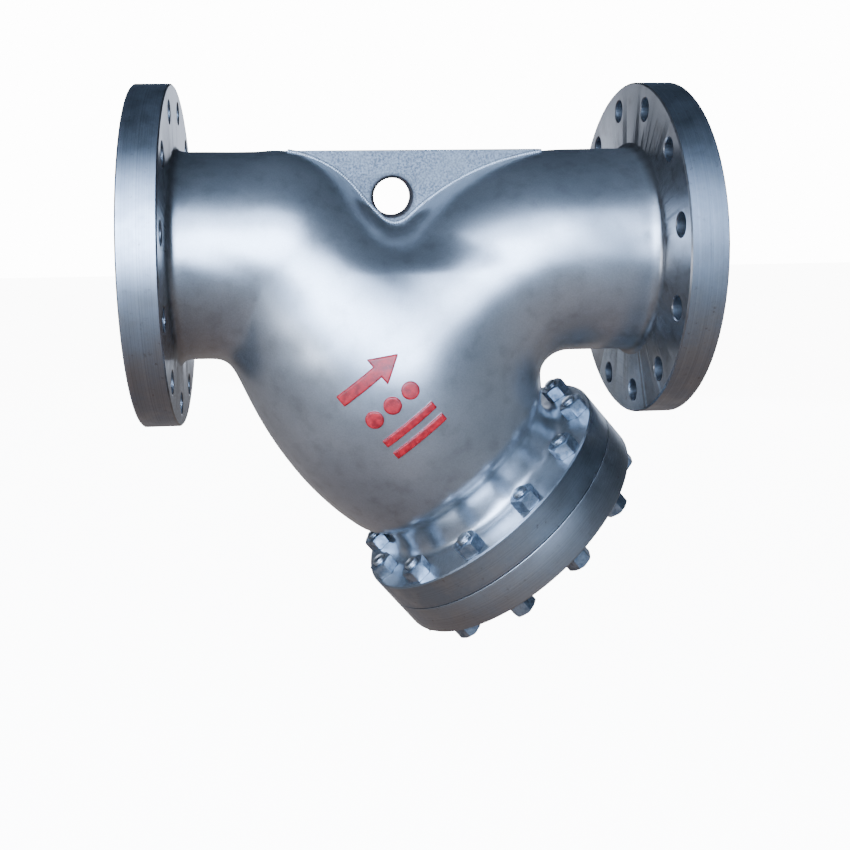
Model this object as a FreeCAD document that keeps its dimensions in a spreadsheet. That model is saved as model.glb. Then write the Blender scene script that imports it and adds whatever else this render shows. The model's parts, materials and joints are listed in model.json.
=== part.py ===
"""A flanged Y strainer, size 200, as a parametric assembly.

The pipe runs along +X from the inlet face at the origin to the outlet face.  The strainer barrel
leaves the pipe downwards at the branch angle, a bolted cover closes it, and a screen sits inside.
+Z is up, and lengths are in millimetres.
"""
import FreeCAD, Part
import os

import Sketcher

doc = FreeCAD.newDocument("y_strainer")

# ---------------------------------------------------------------- sizes

SIZES = {
    # pipe run and its two end flanges
    "face_to_face": 600.0,
    "bore_radius": 100.0,
    "pipe_wall": 16.5,
    "end_flange_radius": 190.5,
    "end_flange_thick": 41.3,
    "raised_face_radius": 135.0,
    "raised_face_height": 1.6,
    "end_bolt_circle": 165.1,
    "end_bolt_hole": 12.7,
    "end_bolt_count": 12,
    "hub_fillet": 10.0,
    # where the branch leaves the pipe, and the elbow that leads to the outlet
    "branch_angle": 50.0,
    "branch_at": 150.0,
    "ball_extra": 1.0,
    "outlet_straight": 115.0,
    "entry_offset": 44.6,
    "elbow_turn": 85.0,
    "elbow_bore_turn": 95.0,
    # barrel casting
    "chamber_gap": 40.0,
    "barrel_wall": 13.5,
    "swell_from": 80.0,
    "swell_rise": 23.5,
    "entry_to_bonnet": 129.1,
    "crest_to_bonnet": 143.0,
    "crest_end_to_bonnet": 53.0,
    "crest_end_drop": 12.5,
    "shoulder_to_bonnet": 38.0,
    "shoulder_lip": 4.0,
    "neck_to_bonnet": 26.0,
    "neck_wall": 15.0,
    # screen and its seat
    "screen_radius": 96.0,
    "screen_sheet": 1.5,
    "screen_ring_width": 6.0,
    "screen_ring_depth": 12.0,
    "seat_clearance": 0.9,
    "seat_at": 64.0,
    "seat_ledge": 8.0,
    "seat_rim": 4.0,
    "seat_hole_gap": 0.5,
    "top_ring_overhang": 6.6,
    "top_ring_depth": 10.0,
    "opening_clearance": 0.4,
    # bonnet joint
    "bonnet_flange_thick": 34.0,
    "bonnet_edge": 18.0,
    "bonnet_seam": 1.0,
    "recess_depth": 6.0,
    "recess_clearance": 0.1,
    "gasket_thick": 3.2,
    "gasket_bore_gap": 1.5,
    "gasket_ring_width": 7.5,
    "gasket_winding_width": 18.0,
    "cover_thick": 39.0,
    "cover_chamfer": 2.0,
    # studs and nuts
    "stud_count": 12,
    "stud_radius": 8.0,
    "stud_hole_gap": 1.0,
    "stud_room": 32.0,
    "stud_end": 4.0,
    "stud_chamfer": 1.5,
    "nut_flats": 27.0,
    "nut_height": 16.0,
    "nut_crown_share": 0.475,
    "nut_running_gap": 0.05,
    # drain plug
    "drain_boss_radius": 40.0,
    "drain_boss_height": 6.0,
    "plug_radius": 16.6,
    "plug_running_gap": 0.07,
    "plug_length": 30.0,
    "plug_flats": 46.0,
    "plug_head_height": 18.0,
    "drain_washer_gap": 0.4,
    "drain_washer_width": 7.0,
    "drain_washer_thick": 2.0,
    # lifting web with its eye
    "web_thick": 20.0,
    "web_above_neck": 0.5,
    "web_from": 151.0,
    "web_to": 453.0,
    "web_depth": 105.0,
    "eye_radius": 21.0,
    "eye_chamfer": 3.0,
    "eye_at": 282.0,
    "eye_height": 65.0,
    # raised marks on the barrel
    "mark_relief": 3.0,
    "mark_reach": 12.0,
    "mark_root": 30.0,
    "arrow_at": 145.0,
    "arrow_length": 78.0,
    "arrow_width": 13.0,
    "arrow_head": 19.0,
    "pips_at": 181.0,
    "pip_radius": 9.5,
    "pip_pitch": 24.0,
    "pip_count": 3,
    "bars_at": 217.0,
    "bar_length": 66.0,
    "bar_width": 9.0,
    "bar_pitch": 17.0,
    "bar_count": 2,
    # how far a cutting shape reaches past the face that it opens
    "overrun": 1.0,
}

# Sizes that follow from the ones above, so that what fits together stays together.
WORKED = {
    "neck_radius": "Sizes.bore_radius + Sizes.pipe_wall",
    "ball_radius": "Sizes.bore_radius + Sizes.pipe_wall + Sizes.ball_extra",
    "ball_bore": "Sizes.bore_radius + Sizes.ball_extra",
    "bend_at": "Sizes.face_to_face - Sizes.outlet_straight",
    # the elbow's bend radius brings its end to entry_offset from the branch axis
    "bend_radius": "((Sizes.face_to_face - Sizes.outlet_straight - Sizes.branch_at)"
                   " * sin(Sizes.branch_angle * 1 deg) - Sizes.entry_offset)"
                   " / (sin(Sizes.branch_angle * 1 deg) + cos(Sizes.branch_angle * 1 deg))",
    "entry_at": "(bend_at - bend_radius - Sizes.branch_at) * cos(Sizes.branch_angle * 1 deg)"
                " + bend_radius * sin(Sizes.branch_angle * 1 deg)",
    "bonnet_back": "entry_at + Sizes.entry_to_bonnet",
    "bonnet_face": "bonnet_back + Sizes.bonnet_flange_thick",
    "recess_floor": "bonnet_face - Sizes.recess_depth",
    "gasket_top": "recess_floor + Sizes.gasket_thick",
    "cover_back": "bonnet_face + Sizes.bonnet_seam",
    "cover_face": "cover_back + Sizes.cover_thick",
    "drain_face": "cover_face + Sizes.drain_boss_height",
    "plug_face": "drain_face + Sizes.drain_washer_thick",
    "plug_from": "plug_face - Sizes.plug_length",
    "barrel_radius": "Sizes.screen_radius + Sizes.chamber_gap + Sizes.barrel_wall",
    "barrel_start": "barrel_radius - Sizes.swell_rise",
    "crest_at": "bonnet_back - Sizes.crest_to_bonnet",
    "crest_end": "bonnet_back - Sizes.crest_end_to_bonnet",
    "shoulder_at": "bonnet_back - Sizes.shoulder_to_bonnet",
    "neck_from": "bonnet_back - Sizes.neck_to_bonnet",
    "hub_from": "bonnet_back - Sizes.hub_fillet",
    "sheet_bore": "Sizes.screen_radius - Sizes.screen_sheet",
    "ring_bore": "sheet_bore - Sizes.screen_ring_width",
    "seat_bore": "Sizes.screen_radius + Sizes.seat_clearance",
    "seat_hole": "ring_bore - Sizes.seat_hole_gap",
    "seat_from": "Sizes.seat_at - Sizes.seat_ledge",
    "seat_to": "Sizes.seat_at + Sizes.screen_ring_depth + Sizes.seat_rim",
    "top_ring_radius": "Sizes.screen_radius + Sizes.top_ring_overhang",
    "top_ring_from": "gasket_top - Sizes.top_ring_depth",
    "opening_radius": "top_ring_radius + Sizes.opening_clearance",
    "bonnet_neck": "opening_radius + Sizes.neck_wall",
    "stud_circle": "bonnet_neck + Sizes.stud_room",
    "bonnet_radius": "stud_circle + Sizes.bonnet_edge",
    "stud_hole": "Sizes.stud_radius + Sizes.stud_hole_gap",
    "gasket_bore": "opening_radius + Sizes.gasket_bore_gap",
    "gasket_middle": "gasket_bore + Sizes.gasket_ring_width",
    "gasket_radius": "gasket_middle + Sizes.gasket_winding_width",
    "recess_radius": "gasket_radius + Sizes.recess_clearance",
    "spigot_radius": "recess_radius - 2 * Sizes.recess_clearance",
    "body_nut_from": "bonnet_back - Sizes.nut_height",
    "stud_from": "body_nut_from - Sizes.stud_end",
    "stud_to": "cover_face + Sizes.nut_height + Sizes.stud_end",
    "nut_corner": "Sizes.nut_flats / sqrt(3)",
    "nut_crown": "Sizes.nut_flats * Sizes.nut_crown_share",
    "plug_corner": "Sizes.plug_flats / sqrt(3)",
    "plug_crown": "Sizes.plug_flats * Sizes.nut_crown_share",
    "plug_hole": "Sizes.plug_radius + Sizes.plug_running_gap",
    "washer_bore": "Sizes.plug_radius + Sizes.drain_washer_gap",
    "washer_radius": "washer_bore + Sizes.drain_washer_width",
    "web_top": "neck_radius + Sizes.web_above_neck",
    "mark_front": "-(barrel_radius + Sizes.mark_reach)",
    "mark_back": "-(barrel_radius - Sizes.mark_root)",
    "mark_depth": "Sizes.mark_reach + Sizes.mark_root",
}


def fill_sheet(name, cells):
    """One spreadsheet with a label, a value and an alias on each row."""
    sheet = doc.addObject("Spreadsheet::Sheet", name)
    for row, (alias, content) in enumerate(cells.items(), start=1):
        sheet.set(f"A{row}", alias)
        sheet.setAlias(f"B{row}", alias)
        sheet.set(f"B{row}", f"={content}" if isinstance(content, str) else str(content))
    doc.recompute()
    return sheet


fill_sheet("Sizes", SIZES)
worked = fill_sheet("Worked", WORKED)


def size(expression):
    """The present number of an expression on the two sheets."""
    found = worked.evalExpression(expression)
    return float(getattr(found, "Value", found))


# ---------------------------------------------------------------- placements

PIPE = "placement(vector(0; 0; 0); rotation(vector(0; 1; 0); 90))"
BRANCH = "placement(vector(Sizes.branch_at; 0; 0); rotation(vector(0; 1; 0); 90 + Sizes.branch_angle))"
BRANCH_LEVEL = "placement(vector(Sizes.branch_at; 0; 0); rotation(vector(0; 1; 0); Sizes.branch_angle))"
OUTLET = "placement(vector(Sizes.face_to_face; 0; 0); rotation(vector(0; 0; 1); 180))"


def shift(x, y, z):
    """A move, as text for a Placement expression."""
    return f"placement(vector({x}; {y}; {z}); rotation(vector(0; 0; 1); 0))"


def turn(axis, degrees):
    """A turn about an axis such as '0; 0; 1', as text for a Placement expression."""
    return f"placement(vector(0; 0; 0); rotation(vector({axis}); {degrees}))"


def place(item, *steps):
    """Bind the item's Placement to the product of the steps."""
    item.setExpression("Placement", " * ".join(steps))
    return item


# ---------------------------------------------------------------- building blocks

def cylinder(name, radius, height, *steps):
    item = doc.addObject("Part::Cylinder", name)
    item.setExpression("Radius", radius)
    item.setExpression("Height", height)
    return place(item, *steps) if steps else item


def cone(name, low_radius, high_radius, height, *steps):
    item = doc.addObject("Part::Cone", name)
    item.setExpression("Radius1", low_radius)
    item.setExpression("Radius2", high_radius)
    item.setExpression("Height", height)
    return place(item, *steps) if steps else item


def box(name, length, width, height, *steps):
    item = doc.addObject("Part::Box", name)
    item.setExpression("Length", length)
    item.setExpression("Width", width)
    item.setExpression("Height", height)
    return place(item, *steps)


def prism(name, sides, corner_radius, height, *steps):
    item = doc.addObject("Part::Prism", name)
    item.Polygon = sides
    item.setExpression("Circumradius", corner_radius)
    item.setExpression("Height", height)
    return place(item, *steps)


def fuse(name, pieces):
    item = doc.addObject("Part::MultiFuse", name)
    item.Shapes = pieces
    return item


def cut(name, base, tool):
    item = doc.addObject("Part::Cut", name)
    item.Base = base
    item.Tool = tool
    return item


def common(name, base, tool):
    item = doc.addObject("Part::Common", name)
    item.Base = base
    item.Tool = tool
    return item


def outline(name, corners, bows=None):
    """A closed sketch through corners, each an (along, outward) pair of expressions.

    The side that starts at corner i is straight, or an arc whose centre lies at the along
    position bows[i].  Every corner and every arc centre is held by a dimension.
    """
    bows = bows or {}
    sketch = doc.addObject("Sketcher::SketchObject", name)
    spots = [FreeCAD.Vector(size(along), size(out), 0) for along, out in corners]
    begins = []
    for index, start in enumerate(spots):
        end = spots[(index + 1) % len(spots)]
        if index not in bows:
            sketch.addGeometry(Part.LineSegment(start, end), False)
            begins.append((1, 2))
            continue
        # the centre is as far from one end as from the other
        middle = size(bows[index])
        rise = end.y - start.y
        level = ((end.x - middle) ** 2 - (start.x - middle) ** 2 + end.y ** 2 - start.y ** 2)
        centre = FreeCAD.Vector(middle, level / (2 * rise), 0)
        forward = (start - centre).cross(end - centre).z > 0
        first, last = (start, end) if forward else (end, start)
        circle = Part.Circle(centre, FreeCAD.Vector(0, 0, 1), (start - centre).Length)
        arc = Part.ArcOfCircle(circle, circle.parameter(first), circle.parameter(last))
        sketch.addGeometry(arc, False)
        begins.append((1, 2) if forward else (2, 1))
    for index, (along, out) in enumerate(corners):
        before = index - 1 if index else len(corners) - 1
        point = begins[index][0]
        sketch.addConstraint(Sketcher.Constraint("Coincident", before, begins[before][1], index, point))
        for kind, expression, axis in (("DistanceX", along, -2), ("DistanceY", out, -1)):
            if expression == "0":
                sketch.addConstraint(Sketcher.Constraint("PointOnObject", index, point, axis))
                continue
            number = sketch.addConstraint(
                Sketcher.Constraint(kind, -1, 1, index, point, size(expression)))
            sketch.setExpression(f"Constraints[{number}]", expression)
    for index, middle in bows.items():
        if middle == "0":
            sketch.addConstraint(Sketcher.Constraint("PointOnObject", index, 3, -2))
            continue
        number = sketch.addConstraint(
            Sketcher.Constraint("DistanceX", -1, 1, index, 3, size(middle)))
        sketch.setExpression(f"Constraints[{number}]", middle)
    return sketch


def turned(name, corners, *steps, bows=None):
    """A solid of revolution about its own X axis, from an outline."""
    item = doc.addObject("Part::Revolution", name)
    item.Source = outline(f"{name}_outline", corners, bows)
    item.Axis = FreeCAD.Vector(1, 0, 0)
    item.Base = FreeCAD.Vector(0, 0, 0)
    item.Angle = 360
    item.Solid = True
    return place(item, *steps) if steps else item


def spread(count):
    """Item numbers and their angles for a circle of holes that straddles the centre lines."""
    total = int(size(count))
    return [(number + 1, (number + 0.5) * 360 / total) for number in range(total)]


# ---------------------------------------------------------------- valve body

def pipe_end(name, length, *steps):
    """An end flange with its raised face, hub fillet and neck, turned about the pipe axis."""
    corners = [
        ("0", "0"),
        ("0", "Sizes.raised_face_radius"),
        ("Sizes.raised_face_height", "Sizes.raised_face_radius"),
        ("Sizes.raised_face_height", "Sizes.end_flange_radius"),
        ("Sizes.end_flange_thick", "Sizes.end_flange_radius"),
        ("Sizes.end_flange_thick", "Worked.neck_radius + Sizes.hub_fillet"),
        ("Sizes.end_flange_thick + Sizes.hub_fillet", "Worked.neck_radius"),
        (length, "Worked.neck_radius"),
        (length, "0"),
    ]
    return turned(name, corners, *steps, bows={5: "Sizes.end_flange_thick + Sizes.hub_fillet"})


def barrel(name, grow):
    """The barrel's outside, from the corner ball to the bonnet flange's face."""
    corners = [
        (f"-(Worked.ball_radius + {grow})", "0"),
        ("0", f"Worked.ball_radius + {grow}"),
        ("Sizes.swell_from", f"Worked.barrel_start + {grow}"),
        ("Worked.crest_at", f"Worked.barrel_radius + {grow}"),
        ("Worked.crest_end", f"Worked.barrel_radius - Sizes.crest_end_drop + {grow}"),
        ("Worked.shoulder_at", f"Worked.bonnet_neck + Sizes.shoulder_lip + {grow}"),
        ("Worked.neck_from", f"Worked.bonnet_neck + {grow}"),
        ("Worked.hub_from", f"Worked.bonnet_neck + {grow}"),
        ("Worked.bonnet_back", f"Worked.bonnet_neck + Sizes.hub_fillet + {grow}"),
        ("Worked.bonnet_back", f"Worked.bonnet_radius + {grow}"),
        ("Worked.bonnet_face", f"Worked.bonnet_radius + {grow}"),
        ("Worked.bonnet_face", "0"),
    ]
    bows = {0: "0", 2: "Worked.crest_at", 3: "Worked.crest_at", 7: "Worked.hub_from"}
    return turned(name, corners, BRANCH_LEVEL, bows=bows)


def passage(name):
    """The hollow along the branch: corner, seat for the screen, chamber and bonnet opening."""
    chamber = "Worked.barrel_radius - Sizes.barrel_wall"
    beyond = "Worked.bonnet_face + Sizes.overrun"
    corners = [
        ("-Worked.ball_bore", "0"),
        ("0", "Worked.ball_bore"),
        ("Worked.seat_from", "Worked.ball_bore"),
        ("Worked.seat_from", "Worked.seat_hole"),
        ("Sizes.seat_at", "Worked.seat_hole"),
        ("Sizes.seat_at", "Worked.seat_bore"),
        ("Worked.seat_to", "Worked.seat_bore"),
        ("Worked.seat_to", "Worked.barrel_start - Sizes.barrel_wall"),
        ("Worked.crest_at", chamber),
        ("Worked.crest_end", f"{chamber} - Sizes.crest_end_drop"),
        ("Worked.shoulder_at", "Worked.opening_radius"),
        ("Worked.recess_floor", "Worked.opening_radius"),
        ("Worked.recess_floor", "Worked.recess_radius"),
        (beyond, "Worked.recess_radius"),
        (beyond, "0"),
    ]
    bows = {0: "0", 7: "Worked.crest_at", 8: "Worked.crest_at"}
    return turned(name, corners, BRANCH_LEVEL, bows=bows)


def elbow(name, tube_radius, sweep):
    """A bend from the outlet run down into the barrel."""
    item = doc.addObject("Part::Torus", name)
    item.setExpression("Radius1", "Worked.bend_radius")
    item.setExpression("Radius2", tube_radius)
    item.setExpression("Angle3", sweep)
    return place(item, shift("Worked.bend_at", "0", "-Worked.bend_radius"),
                 turn("0; 1; 0", -90), turn("1; 0; 0", 90))


def end_bolt_holes(name, start):
    """The bolt holes of one end flange."""
    holes = []
    for number, angle in spread("Sizes.end_bolt_count"):
        holes.append(cylinder(
            f"{name}_{number:02d}", "Sizes.end_bolt_hole", "Sizes.end_flange_thick + 2 * Sizes.overrun",
            PIPE, turn("0; 0; 1", angle), shift("Sizes.end_bolt_circle", "0", f"{start} - Sizes.overrun")))
    return holes


def at_stud(angle, along):
    """Placement steps for something on the stud circle, at a place along the branch."""
    return BRANCH, turn("0; 0; 1", angle), shift("Worked.stud_circle", "0", along)


def stud_holes(name, start, depth):
    """Clearance holes for the studs."""
    holes = []
    for number, angle in spread("Sizes.stud_count"):
        holes.append(cylinder(
            f"{name}_{number:02d}", "Worked.stud_hole", f"{depth} + 2 * Sizes.overrun",
            *at_stud(angle, f"{start} - Sizes.overrun")))
    return holes


def build_valve_body():
    """The casting, and its unpierced outside, which other pieces are trimmed to."""
    outside = fuse("casting_outside", [
        pipe_end("inlet_end", "Sizes.branch_at"),
        pipe_end("outlet_end", "Sizes.outlet_straight", OUTLET),
        barrel("barrel", 0),
        elbow("elbow", "Worked.neck_radius", "Sizes.elbow_turn"),
    ])
    inside = fuse("casting_inside", [
        cylinder("inlet_bore", "Sizes.bore_radius", "Sizes.branch_at + Sizes.overrun",
                 PIPE, shift(0, 0, "-Sizes.overrun")),
        cylinder("outlet_bore", "Sizes.bore_radius", "Sizes.outlet_straight + Sizes.overrun",
                 PIPE, shift(0, 0, "Worked.bend_at")),
        elbow("elbow_bore", "Sizes.bore_radius", "Sizes.elbow_bore_turn"),
        passage("passage"),
        *end_bolt_holes("inlet_hole", "0"),
        *end_bolt_holes("outlet_hole", "Sizes.face_to_face - Sizes.end_flange_thick"),
        *stud_holes("body_stud_hole", "Worked.bonnet_back", "Sizes.bonnet_flange_thick"),
    ])
    return cut("valve_body", outside, inside), outside


# ---------------------------------------------------------------- lifting web and marks

def build_lifting_web(outside):
    """A plate that fills the V between the two arms, with an eye for a hook."""
    plate = box("web_plate", "Sizes.web_to - Sizes.web_from", "Sizes.web_thick", "Sizes.web_depth",
                shift("Sizes.web_from", "-Sizes.web_thick / 2", "Worked.web_top - Sizes.web_depth"))
    across = turn("1; 0; 0", 90)
    face = "Sizes.web_thick / 2"
    mouth = "Sizes.eye_radius + Sizes.eye_chamfer"
    eye = fuse("web_eye", [
        cylinder("eye_bore", "Sizes.eye_radius", "Sizes.web_thick + 2 * Sizes.overrun",
                 shift("Sizes.eye_at", f"{face} + Sizes.overrun", "Sizes.eye_height"), across),
        cone("eye_far_mouth", mouth, "Sizes.eye_radius", "Sizes.eye_chamfer",
             shift("Sizes.eye_at", face, "Sizes.eye_height"), across),
        cone("eye_near_mouth", "Sizes.eye_radius", mouth, "Sizes.eye_chamfer",
             shift("Sizes.eye_at", f"Sizes.eye_chamfer - {face}", "Sizes.eye_height"), across),
    ])
    return cut("lifting_web", cut("web_blank", plate, outside), eye)


def build_cast_marks(outside):
    """A flow arrow, a row of round pips and a pair of bars, raised on the barrel's front."""
    facing = (turn("0; 1; 0", -90), turn("1; 0; 0", 90))

    def bar(name, along, width, start, length):
        return box(name, width, "Worked.mark_depth", length, BRANCH_LEVEL,
                   shift(f"{along} - {width} / 2", "Worked.mark_front", start))

    # the head's corner circle touches the arrow's end, and the shaft stops inside the head
    shapes = [
        bar("arrow_shaft", "Sizes.arrow_at", "Sizes.arrow_width", "-Sizes.arrow_length / 2",
            "Sizes.arrow_length - Sizes.arrow_head"),
        prism("arrow_point", 3, "Sizes.arrow_head", "Worked.mark_depth", BRANCH_LEVEL,
              shift("Sizes.arrow_at", "Worked.mark_back", "Sizes.arrow_length / 2 - Sizes.arrow_head"),
              *facing),
    ]
    pips = int(size("Sizes.pip_count"))
    for number in range(pips):
        off = f"({number} - {(pips - 1) / 2}) * Sizes.pip_pitch"
        shapes.append(cylinder(f"pip_{number + 1}", "Sizes.pip_radius", "Worked.mark_depth",
                               BRANCH_LEVEL, shift("Sizes.pips_at", "Worked.mark_back", off), *facing))
    bars = int(size("Sizes.bar_count"))
    for number in range(bars):
        along = f"(Sizes.bars_at + ({number} - {(bars - 1) / 2}) * Sizes.bar_pitch)"
        shapes.append(bar(f"bar_{number + 1}", along, "Sizes.bar_width", "-Sizes.bar_length / 2",
                          "Sizes.bar_length"))
    raised = common("marks_raised", fuse("marks_blank", shapes), barrel("mark_skin", "Sizes.mark_relief"))
    return cut("cast_marks", raised, outside)


# ---------------------------------------------------------------- bonnet joint

def ring(name, inner, outer, start, depth):
    """A flat ring about the branch axis."""
    corners = [
        (start, inner),
        (start, outer),
        (f"{start} + {depth}", outer),
        (f"{start} + {depth}", inner),
    ]
    return turned(name, corners, BRANCH_LEVEL)


def build_gasket():
    """The spiral winding and the ring inside it."""
    winding = ring("gasket_winding", "Worked.gasket_middle", "Worked.gasket_radius",
                   "Worked.recess_floor", "Sizes.gasket_thick")
    inner = ring("gasket_ring", "Worked.gasket_bore", "Worked.gasket_middle",
                 "Worked.recess_floor", "Sizes.gasket_thick")
    return [winding, inner]


def build_cover():
    """The blind cover with its spigot, drain boss and stud holes."""
    corners = [
        ("Worked.gasket_top", "0"),
        ("Worked.gasket_top", "Worked.spigot_radius"),
        ("Worked.cover_back", "Worked.spigot_radius"),
        ("Worked.cover_back", "Worked.bonnet_radius - Sizes.cover_chamfer"),
        ("Worked.cover_back + Sizes.cover_chamfer", "Worked.bonnet_radius"),
        ("Worked.cover_face - Sizes.cover_chamfer", "Worked.bonnet_radius"),
        ("Worked.cover_face", "Worked.bonnet_radius - Sizes.cover_chamfer"),
        ("Worked.cover_face", "Sizes.drain_boss_radius"),
        ("Worked.drain_face", "Sizes.drain_boss_radius - Sizes.cover_chamfer"),
        ("Worked.drain_face", "0"),
    ]
    blank = turned("cover_blank", corners, BRANCH_LEVEL)
    holes = stud_holes("cover_stud_hole", "Worked.cover_back", "Sizes.cover_thick")
    drain = cylinder("drain_hole", "Worked.plug_hole",
                     "Worked.drain_face - Worked.gasket_top + 2 * Sizes.overrun",
                     BRANCH, shift(0, 0, "Worked.gasket_top - Sizes.overrun"))
    return cut("cover", blank, fuse("cover_holes", [*holes, drain]))


def hexagon(name, corner, crown, height):
    """A hexagon with its outer corners turned off at 30 degrees; a flat faces +X."""
    block = prism(f"{name}_block", 6, corner, height, turn("0; 0; 1", 30))
    # the cone widens towards the seat so that it trims the outer corners only
    trim = cone(f"{name}_trim", f"{crown} + {height} * sqrt(3)", crown, height)
    return common(f"{name}_hexagon", block, trim)


def build_nuts(prefix, start, bore, flipped):
    """A circle of nuts. Their crowns point along the branch, or back up it when flipped."""
    nuts = []
    for number, angle in spread("Sizes.stud_count"):
        name = f"{prefix}_{number:02d}"
        block = hexagon(name, "Worked.nut_corner", "Worked.nut_crown", "Sizes.nut_height")
        hole = cylinder(f"{name}_bore", bore, "Sizes.nut_height + 2 * Sizes.overrun",
                        shift(0, 0, "-Sizes.overrun"))
        nut = cut(name, block, hole)
        if flipped:
            steps = (*at_stud(angle, f"{start} + Sizes.nut_height"), turn("0; 1; 0", 180))
        else:
            steps = at_stud(angle, start)
        nuts.append(place(nut, *steps))
    return nuts


def build_studs():
    """The studs, chamfered at both ends."""
    studs = []
    tip = "Sizes.stud_radius - Sizes.stud_chamfer"
    length = "(Worked.stud_to - Worked.stud_from)"
    for number, angle in spread("Sizes.stud_count"):
        name = f"stud_{number:02d}"
        pieces = [
            cylinder(f"{name}_shank", "Sizes.stud_radius", f"{length} - 2 * Sizes.stud_chamfer",
                     shift(0, 0, "Sizes.stud_chamfer")),
            cone(f"{name}_low_end", tip, "Sizes.stud_radius", "Sizes.stud_chamfer"),
            cone(f"{name}_high_end", "Sizes.stud_radius", tip, "Sizes.stud_chamfer",
                 shift(0, 0, f"{length} - Sizes.stud_chamfer")),
        ]
        studs.append(place(fuse(name, pieces), *at_stud(angle, "Worked.stud_from")))
    return studs


# ---------------------------------------------------------------- drain and screen

def build_drain():
    """The hexagon plug in the cover's boss and the washer under its head."""
    head = hexagon("plug_head", "Worked.plug_corner", "Worked.plug_crown", "Sizes.plug_head_height")
    place(head, shift(0, 0, "Sizes.plug_length"))
    shank = cylinder("plug_shank", "Sizes.plug_radius", "Sizes.plug_length")
    plug = fuse("drain_plug", [shank, head])
    place(plug, BRANCH, shift(0, 0, "Worked.plug_from"))
    washer = ring("drain_washer", "Worked.washer_bore", "Worked.washer_radius",
                  "Worked.drain_face", "Sizes.drain_washer_thick")
    return [plug, washer]


def build_screen():
    """The screen's sheet cylinder between its two end rings."""
    tube = ring("screen_tube", "Worked.sheet_bore", "Sizes.screen_radius",
                "Sizes.seat_at", "Worked.top_ring_from - Sizes.seat_at")
    bottom = ring("screen_bottom_ring", "Worked.ring_bore", "Worked.sheet_bore",
                  "Sizes.seat_at", "Sizes.screen_ring_depth")
    top = ring("screen_top_ring", "Worked.ring_bore", "Worked.top_ring_radius",
               "Worked.top_ring_from", "Sizes.top_ring_depth")
    return [tube, bottom, top]


# ---------------------------------------------------------------- assembly and export

valve_body, casting_outside = build_valve_body()
subparts = [
    valve_body,
    build_lifting_web(casting_outside),
    build_cast_marks(casting_outside),
    *build_gasket(),
    build_cover(),
    *build_drain(),
    *build_screen(),
    *build_studs(),
    *build_nuts("body_nut", "Worked.body_nut_from", "Sizes.stud_radius", True),
    *build_nuts("cover_nut", "Worked.cover_face", "Sizes.stud_radius + Sizes.nut_running_gap", False),
]
doc.recompute()

for item in doc.Objects:
    faults = {"Invalid", "Error"} & set(item.State)
    if faults:
        raise RuntimeError(f"{item.Name} did not build: {sorted(faults)}")
for item in subparts:
    if item.Shape.isNull() or not item.Shape.isValid() or not item.Shape.Solids:
        raise RuntimeError(f"{item.Label} has no sound solid")

os.makedirs("parts", exist_ok=True)
for item in subparts:
    item.Shape.exportStep(f"parts/{item.Label}.step")
    print(f"{item.Label}: {len(item.Shape.Solids)} solid(s), {item.Shape.Volume / 1000:.1f} cm3")
print(f"bend radius {size('Worked.bend_radius'):.2f}, bonnet at {size('Worked.bonnet_back'):.2f}")
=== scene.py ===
# %% [markdown]
# A flanged Y strainer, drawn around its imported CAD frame.  The real object is a steel casting that
# is blasted and painted silver, with machined flanges, a blind cover held by studs and nuts, and a
# perforated screen inside.  Every place below is read from the frame, so the looks sit exactly
# where the CAD pieces are.  The first step is only to load that frame.

# %% Load the frame
import json
import math

import bmesh
import bpy
import numpy as np
from mathutils import Matrix, Vector


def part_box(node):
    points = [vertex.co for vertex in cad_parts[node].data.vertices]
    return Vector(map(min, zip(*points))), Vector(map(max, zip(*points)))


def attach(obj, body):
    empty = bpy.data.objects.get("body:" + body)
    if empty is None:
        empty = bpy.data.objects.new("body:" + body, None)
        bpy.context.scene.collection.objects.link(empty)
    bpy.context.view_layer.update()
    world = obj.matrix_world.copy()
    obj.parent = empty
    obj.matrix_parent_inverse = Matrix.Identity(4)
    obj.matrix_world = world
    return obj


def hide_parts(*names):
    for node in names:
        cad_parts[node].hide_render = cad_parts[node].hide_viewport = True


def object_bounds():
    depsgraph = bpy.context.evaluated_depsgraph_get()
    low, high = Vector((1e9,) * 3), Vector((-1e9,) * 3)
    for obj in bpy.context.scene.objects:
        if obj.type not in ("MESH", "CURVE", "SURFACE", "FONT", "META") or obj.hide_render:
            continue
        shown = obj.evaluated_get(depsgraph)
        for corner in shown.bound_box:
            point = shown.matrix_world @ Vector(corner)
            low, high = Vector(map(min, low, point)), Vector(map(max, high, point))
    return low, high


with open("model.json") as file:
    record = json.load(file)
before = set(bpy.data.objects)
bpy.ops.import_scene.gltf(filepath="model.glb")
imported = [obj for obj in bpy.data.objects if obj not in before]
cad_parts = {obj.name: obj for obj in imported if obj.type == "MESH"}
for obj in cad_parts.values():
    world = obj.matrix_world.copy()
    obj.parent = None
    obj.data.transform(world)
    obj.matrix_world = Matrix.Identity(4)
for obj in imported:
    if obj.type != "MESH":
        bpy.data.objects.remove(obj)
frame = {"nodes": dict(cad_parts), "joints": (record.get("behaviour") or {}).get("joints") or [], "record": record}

MM = 0.001
cad_box = [list(map(float, corner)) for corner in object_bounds()]
print("CAD box", cad_box)

# %% [markdown]
# The strainer has two axes: the pipe's, along X, and the branch's, which leans down towards the
# outlet.  The cover slides off along the branch, so that joint gives its direction.  A node's
# extent along the branch and its distance from it are measured from its points, which saves
# writing the CAD sizes down a second time.

# %% Axes and extents
joints = {joint["name"]: joint for joint in frame["joints"]}
AXIS = np.array(joints["cover_off"]["axis"], float)
AXIS /= np.linalg.norm(AXIS)
SIDE = np.array([0.0, 1.0, 0.0])
OFF = np.cross(AXIS, SIDE)
drain = np.array(joints["drain_plug_turn"]["pos_m"], float)
ROOT = drain - AXIS * drain[2] / AXIS[2]


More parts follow.
